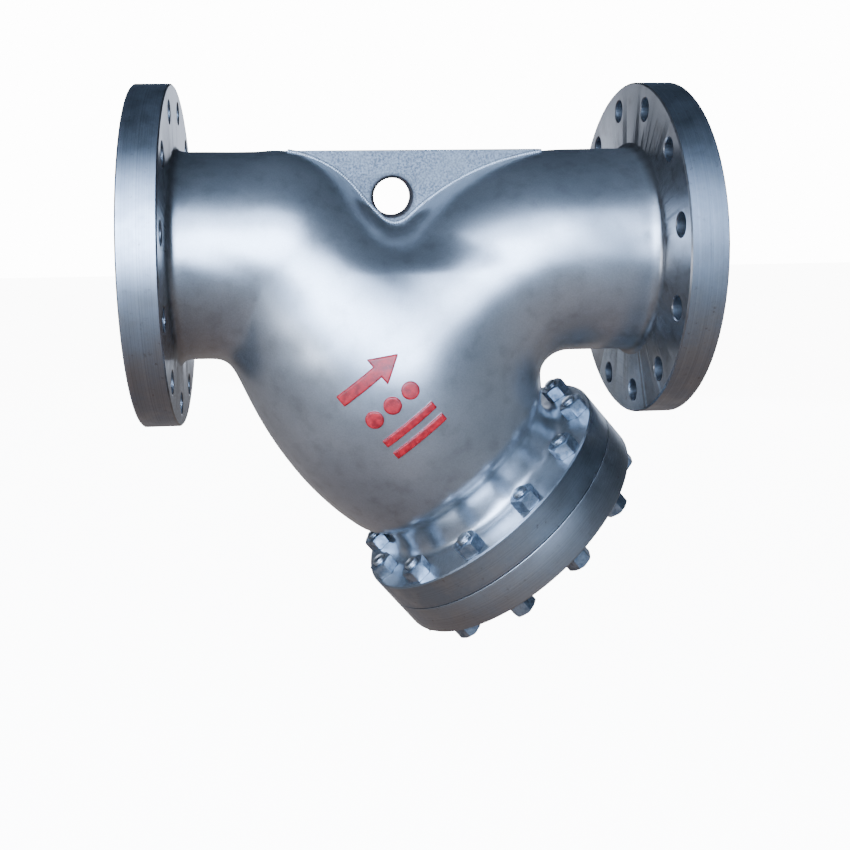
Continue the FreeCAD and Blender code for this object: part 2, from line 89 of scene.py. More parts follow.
def rows_of(items, what):
    """One vector of each vertex, face or corner of a mesh as an array of rows x, y, z."""
    flat = np.empty(len(items) * 3, np.float32)
    items.foreach_get(what, flat)
    return flat.reshape(-1, 3).astype(float)


def node_points(node):
    """A CAD node's vertices as rows x, y, z."""
    return rows_of(frame["nodes"][node].data.vertices, "co")


def branch_place(points):
    """World points as (along, side, off): their components along AXIS, SIDE and OFF from ROOT."""
    return (points - ROOT) @ np.stack([AXIS, SIDE, OFF], axis=1)


def branch_span(node):
    """(first, last) place along the branch and (least, most) distance from it."""
    local = branch_place(node_points(node))
    out = np.hypot(local[:, 1], local[:, 2])
    return local[:, 0].min(), local[:, 0].max(), out.min(), out.max()


def to_world(local):
    """(along, side, off) back to world points: ROOT + along AXIS + side SIDE + off OFF."""
    return ROOT + local @ np.stack([AXIS, SIDE, OFF])


PIPE_LENGTH = cad_box[1][0]
FLANGE_RADIUS = cad_box[1][1]
BRANCH_AT = ROOT[0]
mounts = {mount["name"]: mount for mount in frame["record"]["mounts"]}
RAISED_FACE = mounts["inlet_flange"]["pos_m"][0]
BOLT_CIRCLE = mounts["inlet_flange"]["dims"]["pcd_mm"] / 2 * MM
BOLT_HOLE = mounts["inlet_flange"]["dims"]["hole_r_mm"] * MM
BOLT_COUNT = mounts["inlet_flange"]["dims"]["count"]
cover_back, cover_tip, _, COVER_RADIUS = branch_span("cover")
print(f"pipe {PIPE_LENGTH:.3f} m, flange radius {FLANGE_RADIUS:.4f}, cover radius {COVER_RADIUS:.4f}")

# %% [markdown]
# The camera stands a little left of the middle, slightly above the pipe, and looks a few degrees
# down.  Its frame is shifted so that the strainer sits high in the picture.  The lens and the
# angles are those of a short telephoto at about a metre.

# %% Camera
CAMERA_PLACE = Vector((0.1644, -1.1140, 0.1328))
CAMERA_YAW = 5.030
CAMERA_PITCH = -10.401
CAMERA_ROLL = -0.399
CAMERA_LENS = 41.39
CAMERA_SHIFT = (0.0587, -0.1291)


def aim(yaw, pitch, roll):
    """A rotation whose -Z looks at yaw to the right of +Y and pitch above level, then rolls."""
    yaw, pitch, roll = (math.radians(angle) for angle in (yaw, pitch, roll))
    ahead = Vector((math.sin(yaw) * math.cos(pitch), math.cos(yaw) * math.cos(pitch), math.sin(pitch)))
    right = Vector((math.cos(yaw), -math.sin(yaw), 0.0))
    up = right.cross(ahead)
    rolled_right = right * math.cos(roll) + up * math.sin(roll)
    rolled_up = up * math.cos(roll) - right * math.sin(roll)
    return Matrix((rolled_right, rolled_up, -ahead)).transposed().to_4x4()


camera_data = bpy.data.cameras.new("camera")
camera_data.lens = CAMERA_LENS
camera_data.sensor_width = 36.0
camera_data.shift_x, camera_data.shift_y = CAMERA_SHIFT
camera = bpy.data.objects.new("camera", camera_data)
camera.matrix_world = Matrix.Translation(CAMERA_PLACE) @ aim(CAMERA_YAW, CAMERA_PITCH, CAMERA_ROLL)
bpy.context.scene.collection.objects.link(camera)
bpy.context.scene.camera = camera
print("camera at", tuple(CAMERA_PLACE))

# %% [markdown]
# Two ways of making a mesh serve for nearly everything here.  Turned pieces are a profile of
# (along, radius) points spun about an axis.  Cast pieces have no profile: their arms melt into
# each other, so they are a field, a number at every point that is below zero in the metal, and the
# mesh is drawn where it crosses zero.

# %% Mesh helpers
def new_piece(name, vertices, faces):
    """A mesh object at the origin from arrays of points and corner numbers."""
    mesh = bpy.data.meshes.new(name)
    mesh.from_pydata(np.asarray(vertices).tolist(), [], [list(map(int, face)) for face in faces])
    mesh.validate()
    piece = bpy.data.objects.new(name, mesh)
    bpy.context.scene.collection.objects.link(piece)
    return piece


def grid_faces(rows, steps, looped=False):
    """Quads of a grid closed round its columns and, when looped, from its last row to its first."""
    row, column = np.meshgrid(np.arange(rows if looped else rows - 1), np.arange(steps), indexing="ij")
    here, ahead = row * steps, (row + 1) % rows * steps
    beside = (column + 1) % steps
    corners = [here + column, here + beside, ahead + beside, ahead + column]
    return np.stack(corners, -1).reshape(-1, 4).tolist()


def tube_faces(rows, steps):
    """The quads of such a grid with one flat face over each end."""
    last = (rows - 1) * steps
    return [*grid_faces(rows, steps), list(range(steps))[::-1], list(range(last, last + steps))]


def spun(profile, steps=144):
    """Points x = along, y = r cos a, z = r sin a for a profile of (along, r) rows and steps of a.

    A profile whose ends lie on the axis closes there at a single point each.  Any other profile
    is a closed loop and joins its last row to its first.  Returns points and faces.
    """
    profile = np.asarray(profile, float)
    angle = np.arange(steps) * 2 * np.pi / steps
    capped = profile[0, 1] == 0 and profile[-1, 1] == 0
    rows = profile[1:-1] if capped else profile
    points = np.stack([
        np.repeat(rows[:, :1], steps, axis=1),
        rows[:, 1:] * np.cos(angle),
        rows[:, 1:] * np.sin(angle)], axis=-1).reshape(-1, 3)
    faces = grid_faces(len(rows), steps, not capped)
    if capped:
        first, last = len(points), len(points) + 1
        points = np.vstack([points, [profile[0, 0], 0, 0], [profile[-1, 0], 0, 0]])
        ring, beside = np.arange(steps), (np.arange(steps) + 1) % steps
        top = (len(rows) - 1) * steps
        faces += np.stack([np.full(steps, first), beside, ring], -1).tolist()
        faces += np.stack([np.full(steps, last), top + ring, top + beside], -1).tolist()
    return points, faces


def on_pipe(points, start=0.0, facing=1.0):
    """Spun points laid along the pipe from start, towards +X or, with facing -1, towards -X."""
    return points * [facing, facing, 1.0] + [start, 0.0, 0.0]


ring_points, ring_faces = spun([[0.0, 1.0], [1.0, 1.0], [1.0, 2.0], [0.0, 2.0]], 12)
print(f"a square ring in 12 steps: {len(ring_points)} points, {len(ring_faces)} faces")

# %% [markdown]
# A mesh is finished in a few steps that the pieces share: booleans cut it and join it, its faces
# are turned outwards, and its shading is made soft except over true edges.  The manifold solver
# is exact and quick, but both pieces have to be closed.

# %% Finishing a mesh
def modified(piece, kind, **settings):
    """Puts one modifier on a piece for good."""
    modifier = piece.modifiers.new("shape", kind)
    for name, value in settings.items():
        setattr(modifier, name, value)
    graph = bpy.context.evaluated_depsgraph_get()
    mesh = bpy.data.meshes.new_from_object(piece.evaluated_get(graph))
    piece.modifiers.clear()
    piece.data = mesh


def combine(base, tool, operation):
    """Joins or cuts two closed pieces; the tool is used up."""
    modified(base, "BOOLEAN", operation=operation, solver="MANIFOLD", object=tool)
    bpy.data.objects.remove(tool)


def outward_faces(piece):
    """Turns every face of a closed piece to point outwards."""
    sheet = bmesh.new()
    sheet.from_mesh(piece.data)
    bmesh.ops.recalc_face_normals(sheet, faces=sheet.faces)
    sheet.to_mesh(piece.data)
    sheet.free()
    return piece


def smooth(piece, sharp_degrees=30.0):
    """Soft shading everywhere except over edges that turn by more than the angle."""
    piece.data.shade_smooth()
    piece.data.set_sharp_from_angle(angle=math.radians(sharp_degrees))
    return piece


# %% [markdown]
# The field's surface is found in two moves.  A coarse cube grid gives one vertex for each cube
# that the surface passes through, placed at the mean of the cube's edge crossings, and one quad
# for each grid edge that it crosses.  Then each vertex slides along the field's slope until the
# field is zero there, which takes away every trace of the cubes.

# %% Meshing a field
CORNERS = np.array([[i, j, k] for i in (0, 1) for j in (0, 1) for k in (0, 1)])
EDGES = [(a, b) for a in range(8) for b in range(a + 1, 8) if np.abs(CORNERS[a] - CORNERS[b]).sum() == 1]


def slope(field, points, reach=2e-5):
    """The field's gradient by central differences."""
    parts = []
    for step in np.eye(3) * reach:
        parts.append((field(points + step) - field(points - step)) / (2 * reach))
    return np.stack(parts, axis=1)


def settle(field, points, rounds=4):
    """Newton steps onto the surface: p - f(p) g / |g|^2."""
    for _ in range(rounds):
        gradient = slope(field, points)
        strength = np.maximum((gradient ** 2).sum(1), 0.05)
        points = points - (field(points) / strength)[:, None] * gradient
    return points


def relax(points, faces, rounds=2):
    """Moves each vertex half way to the mean of its neighbours, to even out the quads."""
    pairs = np.vstack([faces[:, [i, (i + 1) % 4]] for i in range(4)])
    for _ in range(rounds):
        total = np.zeros_like(points)
        count = np.zeros(len(points))
        for a, b in ((0, 1), (1, 0)):
            np.add.at(total, pairs[:, a], points[pairs[:, b]])
            np.add.at(count, pairs[:, a], 1)
        points = 0.5 * points + 0.5 * total / count[:, None]
    return points


def field_surface(field, low, high, step):
    """Points and quads where the field crosses zero inside a box."""
    low = np.asarray(low, float)
    counts = np.ceil((np.asarray(high) - low) / step).astype(int) + 1
    lines = [low[i] + step * np.arange(counts[i]) for i in range(3)]
    grid = np.stack(np.meshgrid(*lines, indexing="ij"), -1).reshape(-1, 3)
    values = field(grid).reshape(counts)
    cells = counts - 1
    corner = np.stack([
        values[i:i + cells[0], j:j + cells[1], k:k + cells[2]] for i, j, k in CORNERS], axis=-1)
    crossed = (corner < 0).any(-1) & (corner >= 0).any(-1)
    place = np.argwhere(crossed)
    corner = corner[crossed]
    total = np.zeros((len(place), 3))
    number = np.zeros(len(place))
    for a, b in EDGES:
        cut = (corner[:, a] < 0) != (corner[:, b] < 0)
        share = corner[cut, a] / (corner[cut, a] - corner[cut, b])
        total[cut] += CORNERS[a] + share[:, None] * (CORNERS[b] - CORNERS[a])
        number[cut] += 1
    points = low + step * (place + total / number[:, None])
    index = np.full(cells, -1)
    index[crossed] = np.arange(len(place))
    faces = []
    for axis in range(3):
        u, v = np.eye(3, dtype=int)[[(axis + 1) % 3, (axis + 2) % 3]]
        before, after = values.take(range(cells[axis]), axis), values.take(range(1, counts[axis]), axis)
        change = np.argwhere((before < 0) != (after < 0))
        inner = ((change @ u > 0) & (change @ v > 0)
                 & (change @ u < cells @ u) & (change @ v < cells @ v))
        change = change[inner]
        around = np.stack([index[tuple((change - shift).T)] for shift in (0 * u, u, u + v, v)], axis=1)
        inward = before[tuple(change.T)] >= 0
        around[inward] = around[inward][:, ::-1]
        faces.append(around)
    faces = np.vstack(faces)
    points = relax(points, faces)
    return settle(field, points), faces


ball, _ = field_surface(lambda p: np.linalg.norm(p, axis=1) - 0.01, [-0.02] * 3, [0.02] * 3, 0.004)
print(f"a ball of 10 mm comes out true to {np.ptp(np.linalg.norm(ball, axis=1)) / MM:.6f} mm")

# %% [markdown]
# Joins between cast arms are never sharp: the pattern maker gives each a radius, so that the metal
# flows and the corner does not crack.  Taking the lower of two fields joins two arms with a
# crease.  Taking away a little more where the two are nearly equal fills the crease in, and the
# reach of that filling sets its radius.

# %% Blends
def smooth_min(first, second, reach):
    """min(a, b) - h^3 reach / 6, where h = max(reach - |a - b|, 0) / reach."""
    closeness = np.clip(1 - np.abs(first - second) / reach, 0, None)
    return np.minimum(first, second) - closeness ** 3 * reach / 6


def smooth_max(first, second, reach):
    """The same rounding on an outward corner."""
    return -smooth_min(-first, -second, reach)


def ease(value, start, end):
    """0 before start, 1 after end, and a smooth step between."""
    share = np.clip((value - start) / (end - start), 0, 1)
    return share * share * (3 - 2 * share)


print("where two arms meet, a 30 mm blend adds", -smooth_min(0.0, 0.0, 30.0), "mm of metal")

# %% [markdown]
# The casting's outside is four arms.  The inlet neck is a straight tube that ends in a ball where
# the branch turns off.  The barrel swells towards its crest, like a keg, and steps in at a
# shoulder to the bonnet's neck.  The elbow is a tube along a quarter circle and then a straight
# line.  A slab inside each flange gives the neck its hub fillet.

# %% The casting's sizes
NECK_RADIUS = 116.5 * MM
LEG_RADIUS = 117.5 * MM
BEND_AT = PIPE_LENGTH - 115.0 * MM
BEND_OFFSET = 44.6 * MM
BEND_RADIUS = ((BEND_AT - BRANCH_AT) * OFF[0] - BEND_OFFSET) / (OFF[0] + OFF[2])
BEND_SWEEP = math.radians(100.0)
BORE_SWEEP = math.radians(95.0)
FLANGE_THICK = 41.3 * MM
BONNET_THICK = 34.0 * MM
BONNET_FACE = cover_back + 2.8 * MM
BONNET_BACK = BONNET_FACE - BONNET_THICK
BARREL_RADIUS = 149.5 * MM
CREST_AT = BONNET_BACK - 143.0 * MM
SWELL_LENGTH = 140.0 * MM
SWELL_RISE = 23.5 * MM
FALL_LENGTH = 90.0 * MM
FALL_DROP = 12.5 * MM
SHOULDER_AT = BONNET_BACK - 43.0 * MM
BONNET_NECK = 118.0 * MM
END_SLAB_RADIUS = 150.0 * MM
BONNET_SLAB_RADIUS = 140.0 * MM
SLAB_SINK = 1.2 * MM
SHOULDER_ROUND = 30.0 * MM
BALL_BLEND, BALL_CORNER_BLEND = 1.0 * MM, 23.0 * MM
KEG_BLEND, KEG_DENT_BLEND = 20.0 * MM, 30.0 * MM
BONNET_NECK_BLEND, BONNET_HUB_BLEND, END_HUB_BLEND = 26.0 * MM, 30.0 * MM, 20.0 * MM
ELBOW_BLEND, ELBOW_OPEN_BLEND, ELBOW_FLANK_BLEND = 24.0 * MM, 60.0 * MM, 40.0 * MM
WEB_TIGHTENS = 0.75
UNDULATION = 0.25 * MM
print(f"bend radius {BEND_RADIUS:.4f}, bonnet flange from {BONNET_BACK:.4f} to {BONNET_FACE:.4f}")

# %% [markdown]
# Each arm's field is the distance to its centreline less its radius, which ends a tube in a ball.
# The arms are blended in the order in which they meet, each with the radius of the real corner.
# Last come slow crossed waves of a quarter of a millimetre, the unevenness that a sand mould
# leaves, because a perfectly true cylinder looks machined.

# %% The casting's field
def barrel_profile(along):
    """Keg radius and its slope: crest radius less rise ((crest - t) / length)^2 each way."""
    before = along < CREST_AT
    rise = np.where(before, SWELL_RISE, FALL_DROP)
    length = np.where(before, SWELL_LENGTH, FALL_LENGTH)
    share = (along - CREST_AT) / length
    return BARREL_RADIUS - rise * share ** 2, -2 * rise * share / length


def bend_distance(points):
    """Distance to the elbow's centreline, a quarter circle below BEND_AT and a straight run."""
    across, level = points[:, 0] - BEND_AT, points[:, 2] + BEND_RADIUS
    middle = BEND_SWEEP / 2
    angle = np.arctan2(-across, level) - middle
    angle = (angle + np.pi) % (2 * np.pi) - np.pi
    angle = np.clip(angle, -middle, middle) + middle
    arc = np.sqrt(
        (across + BEND_RADIUS * np.sin(angle)) ** 2
        + points[:, 1] ** 2
        + (level - BEND_RADIUS * np.cos(angle)) ** 2)
    run = np.sqrt(np.minimum(across, 0) ** 2 + points[:, 1] ** 2 + points[:, 2] ** 2)
    return np.minimum(arc, run)


def casting_field(points):
    """The casting's outside, without its flange discs; lengths in metres, below zero in metal."""
    x, y, z = points.T
    along, side, off = branch_place(points).T
    out = np.hypot(side, off)
    neck = np.sqrt(np.maximum(x - BRANCH_AT, 0) ** 2 + y ** 2 + z ** 2) - NECK_RADIUS
    leg = np.sqrt(np.minimum(along, 0) ** 2 + np.maximum(along - 0.1, 0) ** 2 + out ** 2) - LEG_RADIUS
    radius, lean = barrel_profile(along)
    keg = (out - radius) / np.sqrt(1 + lean ** 2)
    keg = smooth_max(keg, along - SHOULDER_AT, SHOULDER_ROUND)
    bonnet_neck = np.maximum(out - BONNET_NECK, 0.2 - along)
    bonnet_slab = np.maximum(BONNET_BACK + SLAB_SINK - along, out - BONNET_SLAB_RADIUS)
    # neck and leg share the ball, so they are blended only in the corner below it
    corner = ease(-off, 0.050, 0.110)
    tube = smooth_min(neck, leg, BALL_BLEND + BALL_CORNER_BLEND * corner)
    # the keg grows out of both with a soft dent on the flanks
    flank = ease(np.abs(side), 0.030, 0.110)
    body = smooth_min(tube, keg, KEG_BLEND + KEG_DENT_BLEND * flank)
    body = smooth_min(body, bonnet_neck, BONNET_NECK_BLEND)
    body = smooth_min(body, bonnet_slab, BONNET_HUB_BLEND)
    elbow = bend_distance(points) - NECK_RADIUS
    # the elbow melts broadly into the barrel, and tightens towards the shoulder and the web
    broad = ELBOW_OPEN_BLEND + ELBOW_FLANK_BLEND * flank
    reach = ELBOW_BLEND + broad * ease(SHOULDER_AT - along, 0.0, 0.160)
    reach = reach * (1 - WEB_TIGHTENS * ease(z, -0.010, 0.055))
    body = smooth_min(body, elbow, reach)
    round_pipe = np.hypot(y, z) - END_SLAB_RADIUS
    inlet_slab = np.maximum(x - FLANGE_THICK + SLAB_SINK, round_pipe)
    outlet_slab = np.maximum(PIPE_LENGTH - FLANGE_THICK + SLAB_SINK - x, round_pipe)
    body = smooth_min(body, np.minimum(inlet_slab, outlet_slab), END_HUB_BLEND)
    ripple = np.sin(x * 61 + 2 * np.sin(z * 37)) * np.sin(y * 53 + 1.3) * np.sin(z * 71 + x * 23)
    return body + UNDULATION * ripple


GRID = 4.0 * MM
IN_END_DISC = 18.0 * MM
IN_BONNET_DISC = 12.0 * MM
BEYOND_DISC = 8.0 * MM
WIDEST = 166.0 * MM


def casting_block(points):
    """The casting's field, ended inside each flange disc by a flat."""
    along = branch_place(points)[:, 0]
    body = np.maximum(casting_field(points), along - BONNET_FACE + IN_BONNET_DISC)
    x = points[:, 0]
    return np.maximum(body, np.maximum(IN_END_DISC - x, x - PIPE_LENGTH + IN_END_DISC))


skin_from = IN_END_DISC - BEYOND_DISC
points, faces = field_surface(
    casting_block, [skin_from, -WIDEST, cad_box[0][2]], [PIPE_LENGTH - skin_from, WIDEST, WIDEST], GRID)
casting = new_piece("casting", points, faces)
print(f"casting skin: {len(points)} points")

# %% [markdown]
# The flanges are faced and drilled on a lathe and a drill press after casting, so they are crisp:
# true discs with small chamfers.  The raised face carries the fine concentric grooves that bite
# into the gasket.  The discs are turned profiles, joined to the cast skin by an exact boolean.

# %% Flange discs
CHAMFER = 1.5 * MM
RAISED_RADIUS = 135.0 * MM
BORE_RADIUS = 100.0 * MM
GROOVE_PITCH = 2.0 * MM
GROOVE_DEPTH = 0.3 * MM


def grooved_face(inner, outer, start):
    """Profile rows (along, r) of a flat face at start with shallow V grooves, from inner to outer."""
    count = int((outer - inner) / GROOVE_PITCH)
    radius = inner + np.arange(2 * count) * GROOVE_PITCH / 2
    along = start + np.tile([0.0, GROOVE_DEPTH], count)
    return np.stack([along, radius], axis=1)


def end_flange_profile():
    """Rows (along, r): grooved raised face, its step, the rim with its chamfers, the back."""
    rows = [[0.0, 0.0], [0.0, BORE_RADIUS + 2 * MM]]
    rows += grooved_face(BORE_RADIUS + 4 * MM, RAISED_RADIUS - 2 * MM, 0.0).tolist()
    rows += [
        [0.0, RAISED_RADIUS - 0.4 * MM],
        [0.4 * MM, RAISED_RADIUS],
        [RAISED_FACE, RAISED_RADIUS + 0.3 * MM],
        [RAISED_FACE, FLANGE_RADIUS - CHAMFER],
        [RAISED_FACE + CHAMFER, FLANGE_RADIUS],
        [FLANGE_THICK - CHAMFER, FLANGE_RADIUS],
        [FLANGE_THICK, FLANGE_RADIUS - CHAMFER],
        [FLANGE_THICK, 0.0]]
    return rows


def bonnet_flange_profile():
    """Rows (along, r) of the disc that the cover bolts to."""
    return [
        [BONNET_BACK, 0.0],
        [BONNET_BACK, COVER_RADIUS - CHAMFER],
        [BONNET_BACK + CHAMFER, COVER_RADIUS],
        [BONNET_FACE - 0.5 * MM, COVER_RADIUS],
        [BONNET_FACE, COVER_RADIUS - 0.5 * MM],
        [BONNET_FACE, 0.0]]


points, faces = spun(end_flange_profile(), 200)
combine(casting, new_piece("inlet_disc", on_pipe(points), faces), "UNION")
combine(casting, new_piece("outlet_disc", on_pipe(points, PIPE_LENGTH, -1.0), faces), "UNION")
points, faces = spun(bonnet_flange_profile(), 200)
combine(casting, new_piece("bonnet_disc", to_world(points), faces), "UNION")
print(f"casting with its flanges: {len(casting.data.polygons)} faces")

# %% [markdown]
# Inside, the flow turns from the inlet into the branch, passes the screen's seat, fills the
# chamber round the screen and leaves through the elbow.  The straight runs are turned cutters and
# the elbow's is a tube swept along its centreline.

# %% Passages
WALL = 13.5 * MM
_, _, gasket_bore, gasket_outside = branch_span("gasket_winding")
gasket_floor, gasket_top, ring_bore, _ = branch_span("gasket_ring")
screen_start, screen_end, screen_bore, screen_radius = branch_span("screen_tube")
ring_start, ring_end, ring_inside, ring_outside = branch_span("screen_bottom_ring")
top_start, top_end, _, top_outside = branch_span("screen_top_ring")
OPENING = top_outside + 0.4 * MM
SEAT_LEDGE = 8.0 * MM
SEAT_HOLE = ring_inside - 0.5 * MM
SEAT_RIM = ring_end + 4.0 * MM
SEAT_BORE = screen_radius + 0.9 * MM
RECESS = gasket_outside + 0.1 * MM


def chamber_profile(rows=24):
    """Rows (along, r) of the hollow along the branch; the chamber follows the keg less its wall."""
    along = np.linspace(SEAT_RIM, CREST_AT + FALL_LENGTH, rows)
    radius = barrel_profile(along)[0] - WALL
    ball = np.linspace(0, np.pi / 2, 12)
    dome = (BORE_RADIUS + MM) * np.stack([-np.cos(ball), np.sin(ball)], axis=1)
    dome[0, 1] = 0.0
    before = [
        [ring_start - SEAT_LEDGE, BORE_RADIUS + MM], [ring_start - SEAT_LEDGE, SEAT_HOLE],
        [ring_start, SEAT_HOLE], [ring_start, SEAT_BORE], [SEAT_RIM, SEAT_BORE]]
    after = [
        [BONNET_BACK - 38 * MM, OPENING], [gasket_floor, OPENING], [gasket_floor, RECESS],
        [BONNET_FACE + MM, RECESS], [BONNET_FACE + MM, 0.0]]
    return [*dome.tolist(), *before, *np.stack([along, radius], axis=1).tolist(), *after]


def swept_elbow(radius, rings=40, steps=96):
    """A closed tube: circles across the elbow's centreline from past the outlet to the chamber."""
    angle = np.linspace(0, BORE_SWEEP, rings)
    centre = np.stack([
        BEND_AT - BEND_RADIUS * np.sin(angle), 0 * angle, BEND_RADIUS * (np.cos(angle) - 1)], axis=1)
    outward = np.stack([-np.sin(angle), 0 * angle, np.cos(angle)], axis=1)
    centre = np.vstack([[PIPE_LENGTH + MM, 0, 0], centre])
    outward = np.vstack([[0, 0, 1], outward])
    turn = np.arange(steps) * 2 * np.pi / steps
    circle = np.cos(turn)[:, None] * outward[:, None] + np.sin(turn)[:, None] * SIDE
    return (centre[:, None] + radius * circle).reshape(-1, 3), tube_faces(rings + 1, steps)


def inlet_run():
    """Rows (along, r) of the inlet bore with a small chamfer at the face."""
    return [
        [-MM, 0.0], [-MM, BORE_RADIUS + 3 * MM], [2 * MM, BORE_RADIUS],
        [BRANCH_AT, BORE_RADIUS], [BRANCH_AT, 0.0]]


points, faces = spun(inlet_run(), 144)
combine(casting, new_piece("inlet_cutter", on_pipe(points), faces), "DIFFERENCE")
points, faces = spun(chamber_profile(), 144)
combine(casting, new_piece("chamber_cutter", to_world(points), faces), "DIFFERENCE")
combine(casting, outward_faces(new_piece("elbow_cutter", *swept_elbow(BORE_RADIUS))), "DIFFERENCE")
print(f"hollow casting: {len(casting.data.polygons)} faces")

# %% [markdown]
# Every bolt and stud hole of a flange is cut at once by one cutter made of many drills.  Each drill
# is a turned profile with a small chamfer at both mouths of the plate.

# %% Drilled holes
def hole_profile(radius, depth, chamfer):
    """Rows (along, r) of a drill with a chamfer at both mouths of a plate from 0 to depth."""
    flare = radius + chamfer
    return [
        [-MM, 0.0], [-MM, flare + MM], [0.0, flare], [chamfer, radius],
        [depth - chamfer, radius], [depth, flare], [depth + MM, flare + MM], [depth + MM, 0.0]]


def drilled(name, radius, depth, chamfer, circle, count, place):
    """One cutter of count drills on a circle; place maps (along, side, off) to the world."""
    points, faces = spun(hole_profile(radius, depth, chamfer), 40)
    angle = (np.arange(count) + 0.5) * 2 * np.pi / count
    shift = np.stack([0 * angle, circle * np.cos(angle), circle * np.sin(angle)], axis=1)
    every = (points[None] + shift[:, None]).reshape(-1, 3)
    corners = [[corner + number * len(points) for corner in face]
               for number in range(count) for face in faces]
    return outward_faces(new_piece(name, place(every), corners))


def node_middle(node):
    """The middle of a node's extent as (along, side, off)."""
    local = branch_place(node_points(node))
    return (local.min(0) + local.max(0)) / 2


stud = branch_place(node_points("stud_01"))
STUD_CIRCLE = math.hypot(*node_middle("stud_01")[1:])
STUD_RADIUS = (stud[:, 1].max() - stud[:, 1].min()) / 2
STUD_COUNT = sum(name.startswith("stud_") for name in frame["nodes"])
for name, start, facing in (
        ("inlet_holes", RAISED_FACE, 1.0), ("outlet_holes", PIPE_LENGTH - RAISED_FACE, -1.0)):
    cutter = drilled(name, BOLT_HOLE, FLANGE_THICK - RAISED_FACE, 1.0 * MM, BOLT_CIRCLE, BOLT_COUNT,
                     lambda points: on_pipe(points, start, facing))
    combine(casting, cutter, "DIFFERENCE")
cutter = drilled("stud_holes", STUD_RADIUS + MM, BONNET_THICK, 0.5 * MM, STUD_CIRCLE, STUD_COUNT,
                 lambda points: to_world(points + [BONNET_BACK, 0, 0]))
combine(casting, cutter, "DIFFERENCE")
smooth(casting, 24.0)
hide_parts("valve_body")
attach(casting, "strainer_body")
print(f"finished casting: {len(casting.data.vertices)} points, stud circle {STUD_CIRCLE:.4f}")

# %% [markdown]
# The lifting web is a flat plate let into the V between the arms and welded in.  Its lower edge
# has to follow the casting, so that edge is found on the casting's own field: at each place along
# the pipe, the height where the field has a wanted value.  The same heights guide the weld bead.

# %% Lifting web
web_low, web_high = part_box("lifting_web")
WEB_HALF = web_high.y
EYE = mounts["lifting_eye"]["pos_m"]
EYE_RADIUS = mounts["lifting_eye"]["dims"]["r_mm"] * MM
EYE_CHAMFER = 3.0 * MM
WEB_ROOT = 8.0 * MM


def surface_height(x, y, level):
    """Height z from 0 to 130 mm where the casting's field is at level, by halving 30 times."""
    high, low = np.full(len(x), 130 * MM), np.zeros(len(x))
    side = np.full(len(x), y)
    for _ in range(30):
        middle = (high + low) / 2
        outside = casting_field(np.stack([x, side, middle], axis=1)) > level
        high, low = np.where(outside, middle, high), np.where(outside, low, middle)
    return (high + low) / 2


def web_plate():
    """A plate whose outline is the level top and the casting's surface lowered by WEB_ROOT."""
    x = np.linspace(web_high.x, web_low.x, 60)
    outline = np.stack([x, surface_height(x, 0.0, -WEB_ROOT)], axis=1)
    outline = np.vstack([[[web_low.x, web_high.z], [web_high.x, web_high.z]], outline])
    points = np.vstack([
        np.insert(outline, 1, side, axis=1) for side in (-WEB_HALF, WEB_HALF)])
    return points, tube_faces(2, len(outline))


def across(points, x, z):
    """Spun points laid along Y through (x, z)."""
    return points[:, [1, 0, 2]] * [1, 1, -1] + [x, 0, z]


web = outward_faces(new_piece("web", *web_plate()))
eye_flare = EYE_RADIUS + EYE_CHAMFER
points, faces = spun([
    [-WEB_HALF - MM, 0], [-WEB_HALF - MM, eye_flare + MM], [-WEB_HALF, eye_flare],
    [EYE_CHAMFER - WEB_HALF, EYE_RADIUS], [WEB_HALF - EYE_CHAMFER, EYE_RADIUS],
    [WEB_HALF, eye_flare], [WEB_HALF + MM, eye_flare + MM], [WEB_HALF + MM, 0]], 64)
combine(web, outward_faces(new_piece("eye_cutter", across(points, EYE[0], EYE[2]), faces)), "DIFFERENCE")
modified(web, "BEVEL", width=0.8 * MM, segments=2, limit_method="ANGLE",
         angle_limit=math.radians(40), use_clamp_overlap=True)
smooth(web, 20.0)
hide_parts("lifting_web")
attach(web, "strainer_body")
print(f"web plate: {len(web.data.vertices)} points")

# %% [markdown]
# A weld bead is a chain of small frozen pools.  It is drawn as a tube along the corner between
# plate and casting, whose radius swells and shrinks once for each pool, with a slow wander that
# a hand-held torch leaves.

# %% Weld beads
BEAD_RADIUS = 3.0 * MM
POOL_PITCH = 2.6 * MM


def tube_along(path, radius, reference, steps=10):
    """Circles of radius[i] across a path; each circle lies in reference and tangent x reference."""
    tangent = np.gradient(path, axis=0)
    tangent /= np.linalg.norm(tangent, axis=1, keepdims=True)
    first = np.broadcast_to(reference, path.shape)
    second = np.cross(tangent, first)
    second /= np.linalg.norm(second, axis=1, keepdims=True)
    turn = np.arange(steps) * 2 * np.pi / steps
    circle = np.cos(turn)[:, None] * first[:, None] + np.sin(turn)[:, None] * second[:, None]
    return (path[:, None] + radius[:, None, None] * circle).reshape(-1, 3), tube_faces(len(path), steps)


def bead_path(side):
    """The corner between plate and casting on one side, sampled evenly along its length."""
    x = np.linspace(web_low.x + 8 * MM, web_high.x - 3 * MM, 600)
    z = surface_height(x, side, 0.0)
    corner = np.stack([x, np.full(len(x), side), z], axis=1)[z < web_high.z - 0.8 * MM]
    travelled = np.insert(np.cumsum(np.linalg.norm(np.diff(corner, axis=0), axis=1)), 0, 0)
    even = np.linspace(0, travelled[-1], int(travelled[-1] / (POOL_PITCH / 5)))
    return np.stack([np.interp(even, travelled, corner[:, i]) for i in range(3)], axis=1), even


